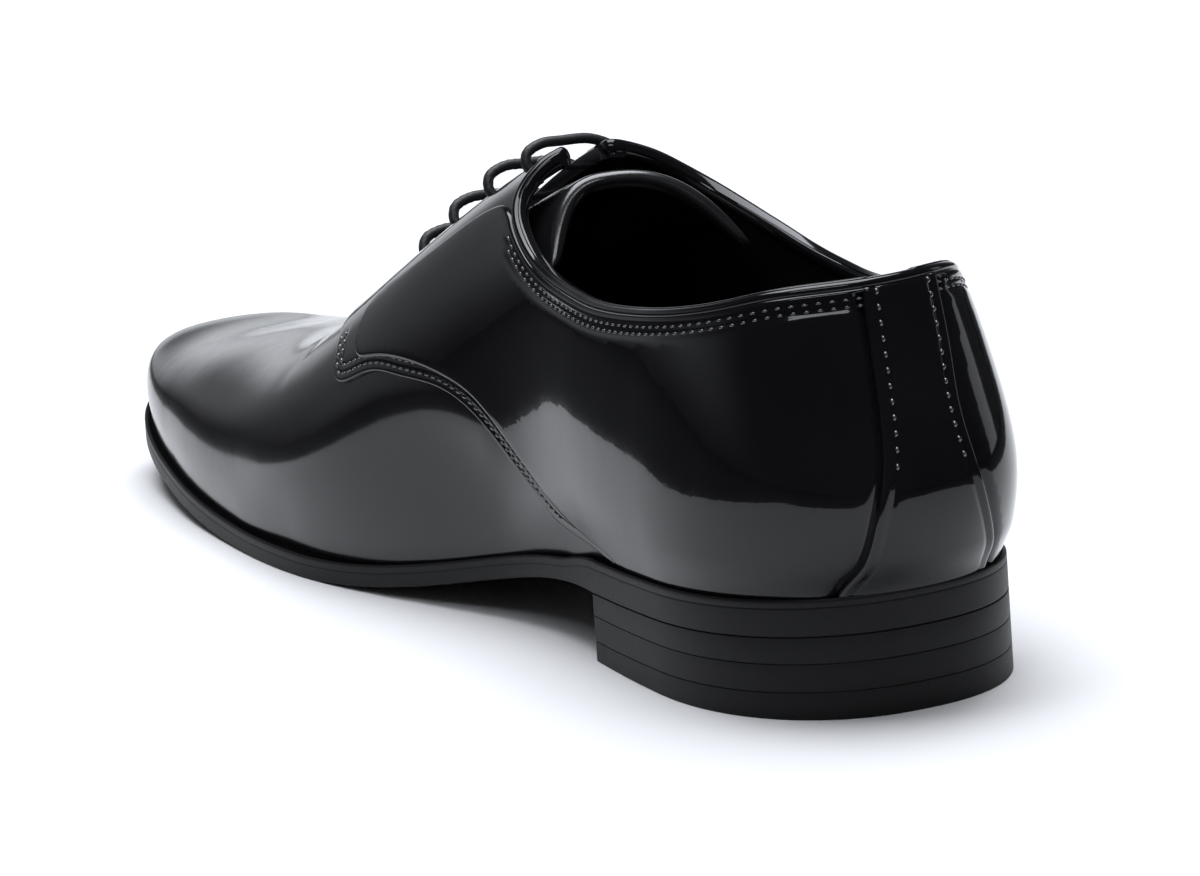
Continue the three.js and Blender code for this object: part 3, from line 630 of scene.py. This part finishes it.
def lining_leather():
    made, shader = material("lining", (0.009, 0.009, 0.010), 0.55)
    pore = texture(made, "ShaderNodeTexVoronoi", 900)
    cloud = texture(made, "ShaderNodeTexNoise", 60, Detail=2.0)
    bump(made, shader, [(cloud.outputs["Fac"], 0.15), (pore.outputs["Distance"], 0.02)])
    vary(made, shader, cloud.outputs["Fac"], "Base Color", (0.006, 0.006, 0.007), (0.013, 0.013, 0.014))
    vary(made, shader, pore.outputs["Distance"], "Roughness", 0.5, 0.65)
    return made


def tongue_leather():
    made, shader = material("tongue_leather", (0.010, 0.010, 0.011), 0.25, coat=0.6, coat_roughness=0.12)
    cloud = texture(made, "ShaderNodeTexNoise", 120, Detail=2.0)
    pore = texture(made, "ShaderNodeTexVoronoi", 1100)
    bump(made, shader, [(cloud.outputs["Fac"], 0.08), (pore.outputs["Distance"], 0.006)])
    vary(made, shader, cloud.outputs["Fac"], "Roughness", 0.2, 0.32)
    vary(made, shader, cloud.outputs["Fac"], "Base Color", (0.008, 0.008, 0.009), (0.013, 0.013, 0.014))
    return made


def lace_cotton():
    made, shader = material("lace_cotton", (0.008, 0.008, 0.009), 0.4, sheen=0.05)
    fibre = texture(made, "ShaderNodeTexNoise", 2400, Detail=2.0)
    cloud = texture(made, "ShaderNodeTexNoise", 300, Detail=1.0)
    bump(made, shader, [(fibre.outputs["Fac"], 0.04)])
    vary(made, shader, cloud.outputs["Fac"], "Base Color", (0.007, 0.007, 0.008), (0.014, 0.014, 0.015))
    vary(made, shader, fibre.outputs["Fac"], "Roughness", 0.4, 0.6)
    return made


def thread():
    made, shader = material("thread", (0.03, 0.03, 0.031), 0.14, coat=1.0, coat_roughness=0.05, specular=0.8)
    fibre = texture(made, "ShaderNodeTexNoise", 5000, Detail=1.0)
    bump(made, shader, [(fibre.outputs["Fac"], 0.01)])
    vary(made, shader, fibre.outputs["Fac"], "Roughness", 0.1, 0.2)
    return made


PATENT = patent_leather("patent", 0.12, 0.56, 0.02, 0.1)
VAMP_PATENT = patent_leather("vamp_patent", 0.2, 0.58, 0.12, 0.1)
RUBBER = sole_rubber()
LINING = lining_leather()
TONGUE = tongue_leather()
LACE = lace_cotton()
THREAD = thread()


# Vamp: the whole last from the toe to under the quarters, without the stretch that the quarters hide
# Main creases of the vamp: lines of (along, around) with the height and width of the soft fold on each
CREASES = [
    ([(0.69, -0.83), (0.643, -0.815), (0.587, -0.778), (0.539, -0.734), (0.506, -0.716), (0.477, -0.716),
      (0.434, -0.741), (0.396, -0.784)], 0.85, 6.5),
    ([(0.69, -0.97), (0.643, -0.955), (0.587, -0.935), (0.539, -0.905), (0.506, -0.885), (0.477, -0.88),
      (0.434, -0.89), (0.396, -0.91)], -1.05, 13.0),
    ([(0.66, -0.5), (0.64, -0.3), (0.635, -0.1), (0.645, 0.1), (0.665, 0.3)], -0.25, 4.0)]


def folds(points):
    """Height of the creases at points of the last; each fades out toward the toe."""
    flat = points.reshape(-1, 3)
    lift = np.zeros(len(flat))
    for places, height, width in CREASES:
        curve = dense(places, 1)
        line = last_point(curve[:, 0], curve[:, 1])
        lift += height * np.exp(-(nearest(flat, line) / width) ** 2)
    return (lift * smooth((0.71 - flat[:, 1] / SOLE_LENGTH) / 0.09)).reshape(points.shape[:-1])


def make_vamp():
    s = station_of(np.linspace(0.17, 0.35, 90)[:-1])
    s = np.concatenate([s, np.linspace(station_of(0.35), 1, 300)])
    v = np.linspace(-1.05, 1.05, 211)
    points, normals, _, _ = surface(s[:, None], v[None, :])
    tip = s > 0.995
    normals[tip] = unit(normals[tip].mean(axis=(0, 1))[None, None])
    shell = points + normals * folds(points)[..., None]
    faces = grid_faces(len(s), len(v))[:, ::-1]
    middle_v = np.abs(v[(faces % len(v))]).mean(1)
    along = station_y(s[(faces // len(v))].mean(1), SOLE_MARGIN) / SOLE_LENGTH
    front = np.array(QUARTER_FRONT[:10])
    hidden = (along < 0.56) & (middle_v < np.interp(along, front[:, 0], front[:, 1]) - 0.06)
    shell_points, shell_faces = clean(shell, faces[~hidden])
    make_mesh("vamp", shell_points, shell_faces, VAMP_PATENT, replaces=("upper",))
    inner = points - normals * WALL
    forward = (along > 0.54) & (middle_v < 1.0)
    inner_points, inner_faces = clean(inner, faces[forward][:, ::-1])
    make_mesh("vamp_lining", inner_points, inner_faces, LINING)


def clean(points, faces):
    """Merges points that meet and drops faces that have shrunk to a line."""
    flat = points.reshape(-1, 3)
    keys = np.round(flat, 3)
    _, first, index = np.unique(keys, axis=0, return_index=True, return_inverse=True)
    index = index.reshape(-1)
    faces = index[faces]
    kept = []
    for face in faces.tolist():
        corners = []
        for k in face:
            if k not in corners:
                corners.append(k)
        if len(corners) > 2:
            kept.append(corners)
    used = np.unique(np.concatenate([np.array(face) for face in kept]))
    renumber = np.full(len(first), -1)
    renumber[used] = np.arange(len(used))
    return flat[first][used], [[int(renumber[k]) for k in face] for face in kept]


def stay_line(sign, around, beyond=0.0):
    """Stations where rows of the last cross the back stay's edge, or a line beyond it."""
    heights = last_point(np.full(len(around), 0.02), sign * around)[:, 2]
    up = (heights - HEEL_HEIGHT) / COUNTER_HEIGHT
    width = (stay_medial if sign < 0 else stay_lateral)(up) * BALL_WIDTH + beyond
    return station_at(sign, around, width)


def station_at(sign, around, width):
    """Stations near the heel where the last is this wide on one side."""
    low, high = np.zeros(around.shape), np.full(around.shape, 0.2)
    for _ in range(24):
        middle = (low + high) / 2
        wide = np.abs(last_point(middle, sign * around)[..., 0]) > np.abs(width)
        high = np.where(wide, middle, high)
        low = np.where(wide, low, middle)
    return (low + high) / 2


def topline(sign):
    return TOPLINE_MEDIAL if sign < 0 else TOPLINE_LATERAL


def side_curves(sign):
    """The edges of one side: quarter front, facing, topline and the hidden lines at the stay and the sole."""
    front = dense(QUARTER_FRONT, sign)
    facing = dense([(0.588, 0.0635), *FACING, (0.404, 0.081)], sign)
    top = dense([*topline(sign), BACK_TOP], sign)
    rows = np.linspace(0.475, 1.04, 60)
    inset = stay_line(sign, rows) * 0.55
    back = np.stack([inset, sign * rows], -1)
    sole = np.stack([np.linspace(inset[-1], station_of(0.2), 60), np.full(60, sign * 1.05)], -1)
    return front, facing, top, back, sole


def make_quarter(sign):
    name = "quarter_medial" if sign < 0 else "quarter_lateral"
    front, facing, top, back, sole = side_curves(sign)
    top = top[top[:, 0] > back[0, 0]]
    loop = np.concatenate([front[5:-4], facing[4:-4], top[4:], back[2:-1], sole[1:-1]])

    def drop(places):
        along = station_y(places[:, 0], SOLE_MARGIN) / SOLE_LENGTH
        return 1.7 * ((np.abs(places[:, 1]) < 0.14) & (along < 0.585))

    upper_stitch = shifted(front[40:560], 3.0 * side_sign(front, sign, inward=True))
    lower_stitch = shifted(front[40:560], 1.25 * side_sign(front, sign, inward=True))
    rows = np.linspace(0.5, 1.1, 70)
    channel = np.stack([stay_line(sign, rows, -0.2), sign * rows], -1)
    grooves = [(upper_stitch, 0.15, 0.35), (lower_stitch, 0.15, 0.35), (channel, 0.9, 1.2)]
    points, faces = panel(sign, loop, QUARTER_TOP, CUT_EDGE, 1.3, grooves, drop)
    make_mesh(name, points, faces, PATENT, replaces=(name,))
    seams = [row[np.abs(row[:, 1]) < 0.93] for row in (upper_stitch, lower_stitch)]
    rows = [stitch_row(seam, QUARTER_TOP, pitch=2.1, length=1.4, radius=0.3) for seam in seams]

    roll = shifted(top, 2.4 * down_sign(top, sign))
    roll = roll[(roll[:, 0] < station_of(0.388)) & (roll[:, 0] > back[0, 0])]
    crest = dense(PANEL_FRONT, sign)
    joined = np.concatenate([crest[3:], roll])
    step = np.linalg.norm(last_point(joined[1:, 0], joined[1:, 1]) - last_point(joined[:-1, 0], joined[:-1, 1]), axis=1)
    joined = joined[np.concatenate([[True], step > 0.05])]
    panel_loop = np.concatenate([joined, back[4:-1], sole[1:45]])
    first = shifted(top, 3.5 * down_sign(top, sign))
    second = shifted(top, 4.9 * down_sign(top, sign))
    first = first[(first[:, 0] < station_of(0.38)) & (first[:, 0] > back[0, 0])]
    second = second[(second[:, 0] < station_of(0.376)) & (second[:, 0] > back[0, 0])]
    grooves = [(first, 0.3, 0.5), (second, 0.42, 0.75), (channel, 1.5, 1.2)]
    points, faces = panel(sign, panel_loop, PANEL_TOP, PANEL_EDGE, 1.3, grooves)
    make_mesh(name + "_panel", points, faces, PATENT)
    rows += [stitch_row(first, PANEL_TOP - 0.2, pitch=2.5), stitch_row(second, PANEL_TOP - 0.35, pitch=2.5, radius=0.32)]

    lining_loop = np.concatenate([facing[4:-4], top[4:], back[2:], sole[1:-1], front[5:-4]])
    points, faces = panel(sign, lining_loop, LINING_DEPTH, [(0.01, LINING_DEPTH)], 2.5)
    make_mesh(name + "_lining", points, [face[::-1] for face in faces], LINING)
    return rows


def side_sign(front, sign, inward):
    """1 or -1, so that a shift goes to the heel side of the quarter's front edge."""
    moved = shifted(front[300:320], 1.0)
    back_of = moved[:, 0].mean() < front[300:320, 0].mean()
    return 1 if back_of == inward else -1


def down_sign(top, sign):
    moved = shifted(top[300:320], 1.0)
    return 1 if np.abs(moved[:, 1]).mean() > np.abs(top[300:320, 1]).mean() else -1


# Rolled edge of the collar, from tab to tab round the heel
COLLAR_PROFILE = [
    (1.95, 0.6), (1.85, 1.1), (1.55, 1.5), (1.05, 1.72), (0.5, 1.62), (0.05, 1.25), (-0.25, 0.6), (-0.32, -0.1),
    (-0.25, -0.9), (0.05, -1.5), (0.5, -1.9), (1.2, -2.1), (2.0, -2.15), (2.5, -1.95), (2.6, -1.5)]


def make_collar():
    corner = [(0.432, 0.0775), (0.414, 0.0793)]
    medial = dense([*corner, *TOPLINE_MEDIAL, BACK_TOP], -1, 900)
    lateral = dense([*corner, *TOPLINE_LATERAL, BACK_TOP], 1, 900)
    halves = []
    for sign, curve in ((-1, medial), (1, lateral)):
        curve = even(curve, 0.8)
        points, _, normals, side = along_curve(curve)
        side = side * down_sign(dense([*topline(sign), BACK_TOP], sign), sign)
        halves.append((points, normals, side))
    points = np.concatenate([halves[0][0], halves[1][0][::-1][1:]])
    normals = np.concatenate([halves[0][1], halves[1][1][::-1][1:]])
    side = np.concatenate([halves[0][2], halves[1][2][::-1][1:]])
    for _ in range(6):
        normals[1:-1] = unit(normals[:-2] + 2 * normals[1:-1] + normals[2:])
        side[1:-1] = unit(side[:-2] + 2 * side[1:-1] + side[2:])
    length = np.concatenate([[0], np.cumsum(np.linalg.norm(np.diff(points, axis=0), axis=1))])
    ends = np.clip(np.minimum(length, length[-1] - length) / 2.2, 0, 1)
    scale = np.sqrt(np.maximum(1 - (1 - ends) ** 2, 1e-3))
    middle = np.array(COLLAR_PROFILE).mean(0)
    rows = []
    for distance, height in COLLAR_PROFILE:
        d = middle[0] + (distance - middle[0]) * scale
        h = middle[1] + (height - middle[1]) * scale
        rows.append(points + side * d[:, None] + normals * h[:, None])
    faces = grid_faces(len(points), len(COLLAR_PROFILE))
    make_mesh("collar_roll", np.stack(rows, 1).reshape(-1, 3), faces.tolist(), PATENT)


# Back stay: a strip over the heel seam with a rolled edge on both sides
STAY_PROFILE = [
    (0.0, 0.2), (0.02, 0.9), (0.14, 1.5), (0.4, 1.98), (0.8, 2.25), (1.2, 2.28), (1.6, 2.16), (2.0, 2.0), (2.5, 1.9),
    (2.75, 1.78), (3.0, 1.9), (3.6, 1.95)]


def make_back_stay():
    around = np.linspace(0.4865, 1.07, 160)
    heights = last_point(np.full(len(around), 0.02), -around)[:, 2]
    up = (heights - HEEL_HEIGHT) / COUNTER_HEIGHT
    medial, lateral = stay_medial(up) * BALL_WIDTH, stay_lateral(up) * BALL_WIDTH
    inner = np.linspace(0, 1, 22)[1:-1, None]
    edge = np.array([d for d, _ in STAY_PROFILE])[:, None]
    left, right = -medial + edge, (lateral - edge)[::-1]
    x = np.concatenate([left, left[-1] * (1 - inner) + right[0] * inner, right]).T
    heights = [h for _, h in STAY_PROFILE]
    h = np.array(heights + [1.97] * len(inner) + heights[::-1])
    sign = np.where(x < 0, -1, 1)
    v = np.repeat(around[:, None], x.shape[1], axis=1)
    points, normals, _, _ = surface(station_at(sign, v, x), sign * v)
    share = tuck(around) * (0.5 + 0.5 * smooth((around - 0.4865) / 0.013))
    grid = points + normals * h[:, None] * share[:, None, None]
    make_mesh("back_stay", grid.reshape(-1, 3), grid_faces(*grid.shape[:2])[:, ::-1].tolist(), PATENT,
              replaces=("back_stay",))
    lines = []
    for sign, width in ((-1, medial), (1, lateral)):
        x = sign * (width - 2.75)
        side = np.where(x < 0, -1, 1)
        line = np.stack([station_at(side, around, x), side * around], -1)
        lines.append(stitch_row(line[5:-76], 1.95, pitch=3.0, length=1.5, radius=0.4))
    return lines


def make_outline_mesh(name, rows, node, material_used, cut=None):
    """A loft of outlines of the sole; each row gives a margin and a height for y."""
    s = np.concatenate([np.linspace(0, 0.12, 60)[:-1], np.linspace(0.12, 0.88, 240), np.linspace(0.88, 1, 60)[1:]])
    rings = []
    for margin, height_at in rows:
        y = station_y(s, margin)
        medial, lateral, _, _ = sole_width(y, margin)
        z = height_at(y)
        if cut is not None:
            y, medial, lateral, z = cut(y, margin, height_at)
        left = np.stack([medial, y, z], -1)
        right = np.stack([lateral, y, z], -1)
        rings.append(np.stack([left, right], 1))
    grid = np.stack(rings, 1)
    n, m = len(s), len(rows)
    around = np.concatenate([grid[:, :, 0], grid[:, ::-1, 1]], 1)
    faces = grid_faces(n, 2 * m, wrap_columns=True)
    points, faces = clean(around, faces)
    return make_mesh(name, points, faces, material_used, replaces=(node,))


SOLE_PROFILE = [
    (9.0, "low", 0.0), (0.5, "low", 0.0), (0.24, "low", 0.06), (0.07, "low", 0.2), (0.0, "low", 0.5),
    (0.0, "high", -2.1), (0.0, "high", -1.85), (0.12, "high", -1.7), (0.0, "high", -1.55),
    (0.0, "high", -0.6), (0.05, "high", -0.3), (0.2, "high", -0.08), (0.45, "high", 0.0), (0.75, "high", -0.08),
    (1.0, "high", -0.4), (1.15, "high", -0.9), (3.0, "high", -1.0), (6.0, "high", -1.0)]


def make_outsole():
    rows = []
    for margin, level, rise in SOLE_PROFILE:
        base = sole_under if level == "low" else sole_top
        rows.append((margin, lambda y, base=base, rise=rise: base(y) + rise))
    make_outline_mesh("outsole", rows, "outsole", RUBBER)


def heel_cut(y, margin, height_at):
    """Squeezes an outline's stations behind the heel's hollow front face."""
    share = np.linspace(0, 1, len(y))
    y = margin + (HEEL_LENGTH - 2 * margin) * (1 - np.cos(np.pi * np.minimum(share * 1.25, 1) / 2))
    medial, lateral, _, _ = sole_width(y, margin)
    close = np.clip((share - 0.8) / 0.2, 0, 1)
    middle = (medial + lateral) / 2
    medial = middle + (medial - middle) * (1 - close)
    lateral = middle + (lateral - middle) * (1 - close)
    half = (lateral - medial) / 2
    full = half.max()
    hollow = np.where(close > 0, BREAST_HOLLOW * (1 - (half / full) ** 2), 0)
    y = y - hollow
    return y, medial, lateral, height_at(y)


def make_heel():
    names = ["heel_top_piece", "heel_lift_2", "heel_lift_1"]
    for name, low, high in zip(names, LIFTS[:-1], LIFTS[1:]):
        def joint(row):
            return lambda y, row=row: HEEL_HEIGHT * (row[0] + (row[1] - row[0]) * y / HEEL_LENGTH)
        bottom, top = joint(low), joint(high)
        rows = []
        for margin, rise in ((9.0, 0.0), (0.2, 0.0), (0.09, 0.03), (0.02, 0.09), (0.0, 0.2)):
            rows.append((margin, lambda y, rise=rise, bottom=bottom: bottom(y) + rise))
        for margin, rise in ((0.0, -0.2), (0.02, -0.1), (0.09, -0.04), (0.2, -0.02), (9.0, -0.02)):
            rows.append((margin, lambda y, rise=rise, top=top: top(y) + rise))
        make_outline_mesh(name, rows, name, RUBBER, cut=heel_cut)


def make_insole():
    margin = SOLE_MARGIN + WALL + 0.4
    s = np.linspace(0, 1, 200)
    y = station_y(s, margin)
    medial, lateral, _, _ = sole_width(y, margin)
    across = np.linspace(-1, 1, 41)
    x = (medial + lateral)[:, None] / 2 + (lateral - medial)[:, None] / 2 * across
    dish = 1.2 * across ** 4 + 0 * x
    top = np.stack([x, y[:, None] + 0 * x, sole_top(y)[:, None] + 2.4 + dish], -1)
    points, faces = clean(top, grid_faces(len(s), len(across))[:, ::-1])
    make_mesh("insole", points, faces, LINING, replaces=("insole",))


# Tongue: a padded strip under the facings with a rounded top
TONGUE_EDGE = [
    (0.632, 0.02), (0.628, 0.14), (0.612, 0.25), (0.58, 0.33), (0.52, 0.4), (0.45, 0.45), (0.38, 0.5), (0.3, 0.55)]
TONGUE_TOP = 0.388
TONGUE_SLANT, TONGUE_YAW = math.radians(29), 0.12


def tongue_depth(along):
    close, under_lace = WALL + GAP, WALL + LACE_DIAMETER + 7 * GAP
    return close + (under_lace - close) * smooth((0.62 - along) / 0.05)


def make_tongue():
    edge_along = np.array([place[0] for place in TONGUE_EDGE])[::-1]
    edge_around = np.array([place[1] for place in TONGUE_EDGE])[::-1]
    width_at = spline(edge_along, edge_around)
    top_point = last_point(station_of(TONGUE_TOP), 0.0)
    across = np.concatenate([np.linspace(-1, 1, 81)])
    rows_count = 120
    low, high = np.full(len(across), 0.25), np.full(len(across), 0.5)
    for _ in range(40):
        middle = (low + high) / 2
        spot = last_point(station_of(middle), across * width_at(middle))
        behind = top_point[1] - spot[:, 1] - TONGUE_YAW * (spot[:, 0] - top_point[0])
        beyond = behind * math.cos(TONGUE_SLANT) + (spot[:, 2] - top_point[2]) * math.sin(TONGUE_SLANT)
        high = np.where(beyond < 0, middle, high)
        low = np.where(beyond < 0, low, middle)
    top_along = (low + high) / 2
    front = 0.63
    t = np.linspace(0, 1, rows_count)
    along = front + (top_along[None] - front) * t[:, None]
    around = across[None] * width_at(along)
    points, normals, _, _ = surface(station_of(along), around)
    depth = tongue_depth(along)[..., None]
    pad = TONGUE_THICKNESS * np.sqrt(np.clip(1 - np.abs(across) ** 8, 0, 1))[None, :, None]
    outer = points - normals * depth
    reach = np.linalg.norm(points - points[-1], axis=2, keepdims=True)
    binding = 0.7 * smooth((4.6 - reach) / 0.9) - 0.5 * np.exp(-((reach - 4.9) / 0.5) ** 2)
    inner = points - normals * (depth + np.maximum(pad, 0.3) + binding * (pad > 1))
    middle = (outer[-1] + inner[-1]) / 2
    back = unit(outer[-1] - outer[-3])
    rounds = []
    for angle in np.linspace(0, np.pi, 9)[1:-1]:
        half = (outer[-1] - inner[-1]) / 2
        rounds.append(middle + half * math.cos(angle) + back * np.linalg.norm(half, axis=1)[:, None] * math.sin(angle))
    grid = np.concatenate([outer, np.stack(rounds), inner[::-1]])
    make_mesh("tongue", grid.reshape(-1, 3), grid_faces(*grid.shape[:2]).tolist(), TONGUE,
              replaces=("tongue",))


def catmull(points, count):
    """Centripetal curve through the points."""
    padded = np.concatenate([[2 * points[0] - points[1]], points, [2 * points[-1] - points[-2]]])
    pieces = []
    for k in range(len(points) - 1):
        p0, p1, p2, p3 = padded[k:k + 4]
        t1 = np.linalg.norm(p1 - p0) ** 0.5
        t2 = t1 + np.linalg.norm(p2 - p1) ** 0.5
        t3 = t2 + np.linalg.norm(p3 - p2) ** 0.5
        t = np.linspace(t1, t2, count, endpoint=k == len(points) - 2)[:, None]
        a1 = (t1 - t) / t1 * p0 + t / t1 * p1
        a2 = (t2 - t) / (t2 - t1) * p1 + (t - t1) / (t2 - t1) * p2
        a3 = (t3 - t) / (t3 - t2) * p2 + (t - t2) / (t3 - t2) * p3
        b1 = (t2 - t) / t2 * a1 + t / t2 * a2
        b2 = (t3 - t) / (t3 - t1) * a2 + (t - t1) / (t3 - t1) * a3
        pieces.append((t2 - t) / (t2 - t1) * b1 + (t - t1) / (t2 - t1) * b2)
    return np.concatenate(pieces)


def lace_route():
    under = -(WALL + GAP + LACE_DIAMETER / 2) - 0.1

    def at(along, around, lift):
        point, normal, _, _ = surface(station_of(along), np.array(around, float))
        return point + normal * lift

    first, last = EYELETS[0][0], EYELETS[-1][0]
    points = [at(last + (first - last) * share, -LACE_END_AROUND, under) for share in (0, 0.35, 0.7)]
    for index, (along, height) in enumerate(EYELETS):
        lift = height * LACE_LIFT
        start = -1 if index % 2 == 0 else 1
        hole = start * EYELET_AROUND
        points += [at(along, hole, under), at(along, hole, 0), at(along, hole, lift * 0.45)]
        points += [at(along, hole * share, lift * rise - LACE_LEAN * start * share) for share, rise in ARCH]
        points += [at(along, -hole, lift * 0.45), at(along, -hole, 0), at(along, -hole, under)]
    return catmull(np.array(points), 14)


def make_lace():
    points, faces = tube(lace_route(), LACE_DIAMETER / 2, 16, ripple=0.05)
    make_mesh("lace", points, faces, LACE, replaces=("lace",))


# Camera fitted to the photo: its aim, roll and distance in the last's own millimetres
CAMERA_AZIMUTH, CAMERA_ELEVATION, CAMERA_ROLL = 27.36, 13.217, -4.058
CAMERA_DISTANCE, CAMERA_FOCUS = 1806.57, 8718.6
CAMERA_TARGET = np.array([0.0, 150.0, 40.0])
TARGET_PIXEL, MIDDLE_PIXEL, IMAGE_WIDTH = (552.857, 379.357), (600.0, 438.0), 1200.0


def make_camera():
    azimuth, elevation, roll = (math.radians(a) for a in (CAMERA_AZIMUTH, CAMERA_ELEVATION, CAMERA_ROLL))
    ahead = np.array([math.sin(azimuth) * math.cos(elevation), math.cos(azimuth) * math.cos(elevation),
                      -math.sin(elevation)])
    right = np.array([math.cos(azimuth), -math.sin(azimuth), 0.0])
    up = np.cross(right, ahead)
    across = math.cos(roll) * right + math.sin(roll) * up
    upward = -math.sin(roll) * right + math.cos(roll) * up
    scale = CAMERA_DISTANCE / CAMERA_FOCUS
    place = (CAMERA_TARGET - ahead * CAMERA_DISTANCE - across * (TARGET_PIXEL[0] - MIDDLE_PIXEL[0]) * scale
             + upward * (TARGET_PIXEL[1] - MIDDLE_PIXEL[1]) * scale)
    data = bpy.data.cameras.new("camera")
    data.sensor_width = 36
    data.lens = CAMERA_FOCUS / IMAGE_WIDTH * data.sensor_width
    data.clip_start, data.clip_end = 0.05, 50
    camera = bpy.data.objects.new("camera", data)
    bpy.context.scene.collection.objects.link(camera)
    matrix = Matrix.Identity(4)
    for column, axis in enumerate((across, upward, -ahead)):
        for row in range(3):
            matrix[row][column] = axis[row]
    spot = (place + SHIFT) * MM
    for row in range(3):
        matrix[row][3] = spot[row]
    camera.matrix_world = matrix
    bpy.context.scene.camera = camera
    return ahead


def stage_plane(name, corners, color, glow=0.0):
    made = bpy.data.materials.new(name)
    made.use_nodes = True
    shader = made.node_tree.nodes["Principled BSDF"]
    shader.inputs["Base Color"].default_value = (*color, 1)
    shader.inputs["Roughness"].default_value = 0.9
    shader.inputs["Specular IOR Level"].default_value = 0.1
    shader.inputs["Emission Color"].default_value = (1, 1, 1, 1)
    shader.inputs["Emission Strength"].default_value = glow
    mesh = bpy.data.meshes.new(name)
    mesh.from_pydata(corners, [], [(0, 1, 2, 3)])
    mesh.materials.append(made)
    item = bpy.data.objects.new(name, mesh)
    bpy.context.scene.collection.objects.link(item)


def make_stage(ahead):
    """A pale sheet under the shoe on a darker ground."""
    flat = unit(np.array([ahead[0], ahead[1], 0.0]))
    right = np.array([flat[1], -flat[0], 0.0])

    def corner(forward, sideways, height):
        return tuple(flat * forward + right * sideways + np.array([0, 0, height]))

    near, far, left, wide = -0.33, 1.6, -0.19, 0.4
    stage_plane("floor", [corner(near, left, 0), corner(near, wide, 0), corner(far, wide, 0), corner(far, left, 0)],
                (0.87, 0.87, 0.87))
    ground = 5.0
    stage_plane("ground", [(-ground, -ground, -0.004), (ground, -ground, -0.004), (ground, ground, -0.004),
                           (-ground, ground, -0.004)], (0.035, 0.035, 0.035))


def area_light(name, place, aim, size, power):
    data = bpy.data.lights.new(name, "AREA")
    data.shape = "RECTANGLE"
    data.size, data.size_y = size
    data.energy = power
    data.color = (0.92, 0.945, 1.0)
    lamp = bpy.data.objects.new(name, data)
    bpy.context.scene.collection.objects.link(lamp)
    lamp.location = place
    lamp.rotation_euler = (Vector(aim) - Vector(place)).to_track_quat("-Z", "Y").to_euler()


def sky_glow(nodes, links, ray, bearing, reach, heights, foot, strength):
    """A soft patch of studio light about a bearing: ramps in angle and in height, multiplied."""
    angle = math.radians(bearing)
    aim = nodes.new("ShaderNodeVectorMath")
    aim.operation = "DOT_PRODUCT"
    aim.inputs[1].default_value = (math.sin(angle), math.cos(angle), 0.0)
    links.new(ray, aim.inputs[0])
    split = nodes.new("ShaderNodeSeparateXYZ")
    links.new(ray, split.inputs[0])
    total = None
    ramps = [(aim.outputs["Value"], reach), (split.outputs["Z"], heights), (split.outputs["Z"], foot)]
    for source, (low, high) in ramps:
        ramp = nodes.new("ShaderNodeMapRange")
        ramp.interpolation_type = "SMOOTHSTEP"
        ramp.inputs["From Min"].default_value = low
        ramp.inputs["From Max"].default_value = high
        ramp.inputs["To Max"].default_value = strength if total is None else 1.0
        links.new(source, ramp.inputs["Value"])
        if total is None:
            total = ramp.outputs["Result"]
            continue
        product = nodes.new("ShaderNodeMath")
        product.operation = "MULTIPLY"
        links.new(total, product.inputs[0])
        links.new(ramp.outputs["Result"], product.inputs[1])
        total = product.outputs["Value"]
    return total


def make_lights():
    world = bpy.data.worlds.new("studio")
    world.use_nodes = True
    bpy.context.scene.world = world
    nodes, links = world.node_tree.nodes, world.node_tree.links
    place = nodes.new("ShaderNodeTexCoord")
    strength = nodes.new("ShaderNodeMath")
    strength.operation = "ADD"
    ray = place.outputs["Generated"]
    side = sky_glow(nodes, links, ray, -15, (0.2, 0.85), (0.6, 0.15), (-0.03, 0.2), 0.42)
    back = sky_glow(nodes, links, ray, 22, (0.87, 0.99), (0.45, 0.12), (-0.3, -0.2), 0.85)
    links.new(side, strength.inputs[0])
    links.new(back, strength.inputs[1])
    dim = nodes.new("ShaderNodeMath")
    dim.operation = "ADD"
    dim.inputs[1].default_value = 0.035
    links.new(strength.outputs["Value"], dim.inputs[0])
    links.new(dim.outputs["Value"], nodes["Background"].inputs["Strength"])
    nodes["Background"].inputs["Color"].default_value = (0.92, 0.95, 1, 1)
    area_light("overhead", (0.15, 0.35, 1.6), (0.1, 0.25, 0), (1.4, 1.4), 42)
    area_light("rear_strip", (-0.44, -0.86, 1.15), (0, 0, 0.06), (1.2, 0.25), 5)
    area_light("right_card", (1.2, -0.15, 0.3), (0, -0.1, 0.05), (0.3, 0.5), 0.4)


bpy.context.scene.view_settings.view_transform = "Standard"
view_ahead = make_camera()
make_stage(view_ahead)
make_lights()
make_vamp()
stitches = make_quarter(-1) + make_quarter(1) + make_back_stay()
make_collar()
make_outsole()
make_heel()
make_insole()
make_tongue()
make_lace()
stitch_points, stitch_faces = join(stitches)
make_mesh("stitches", stitch_points, stitch_faces, THREAD)
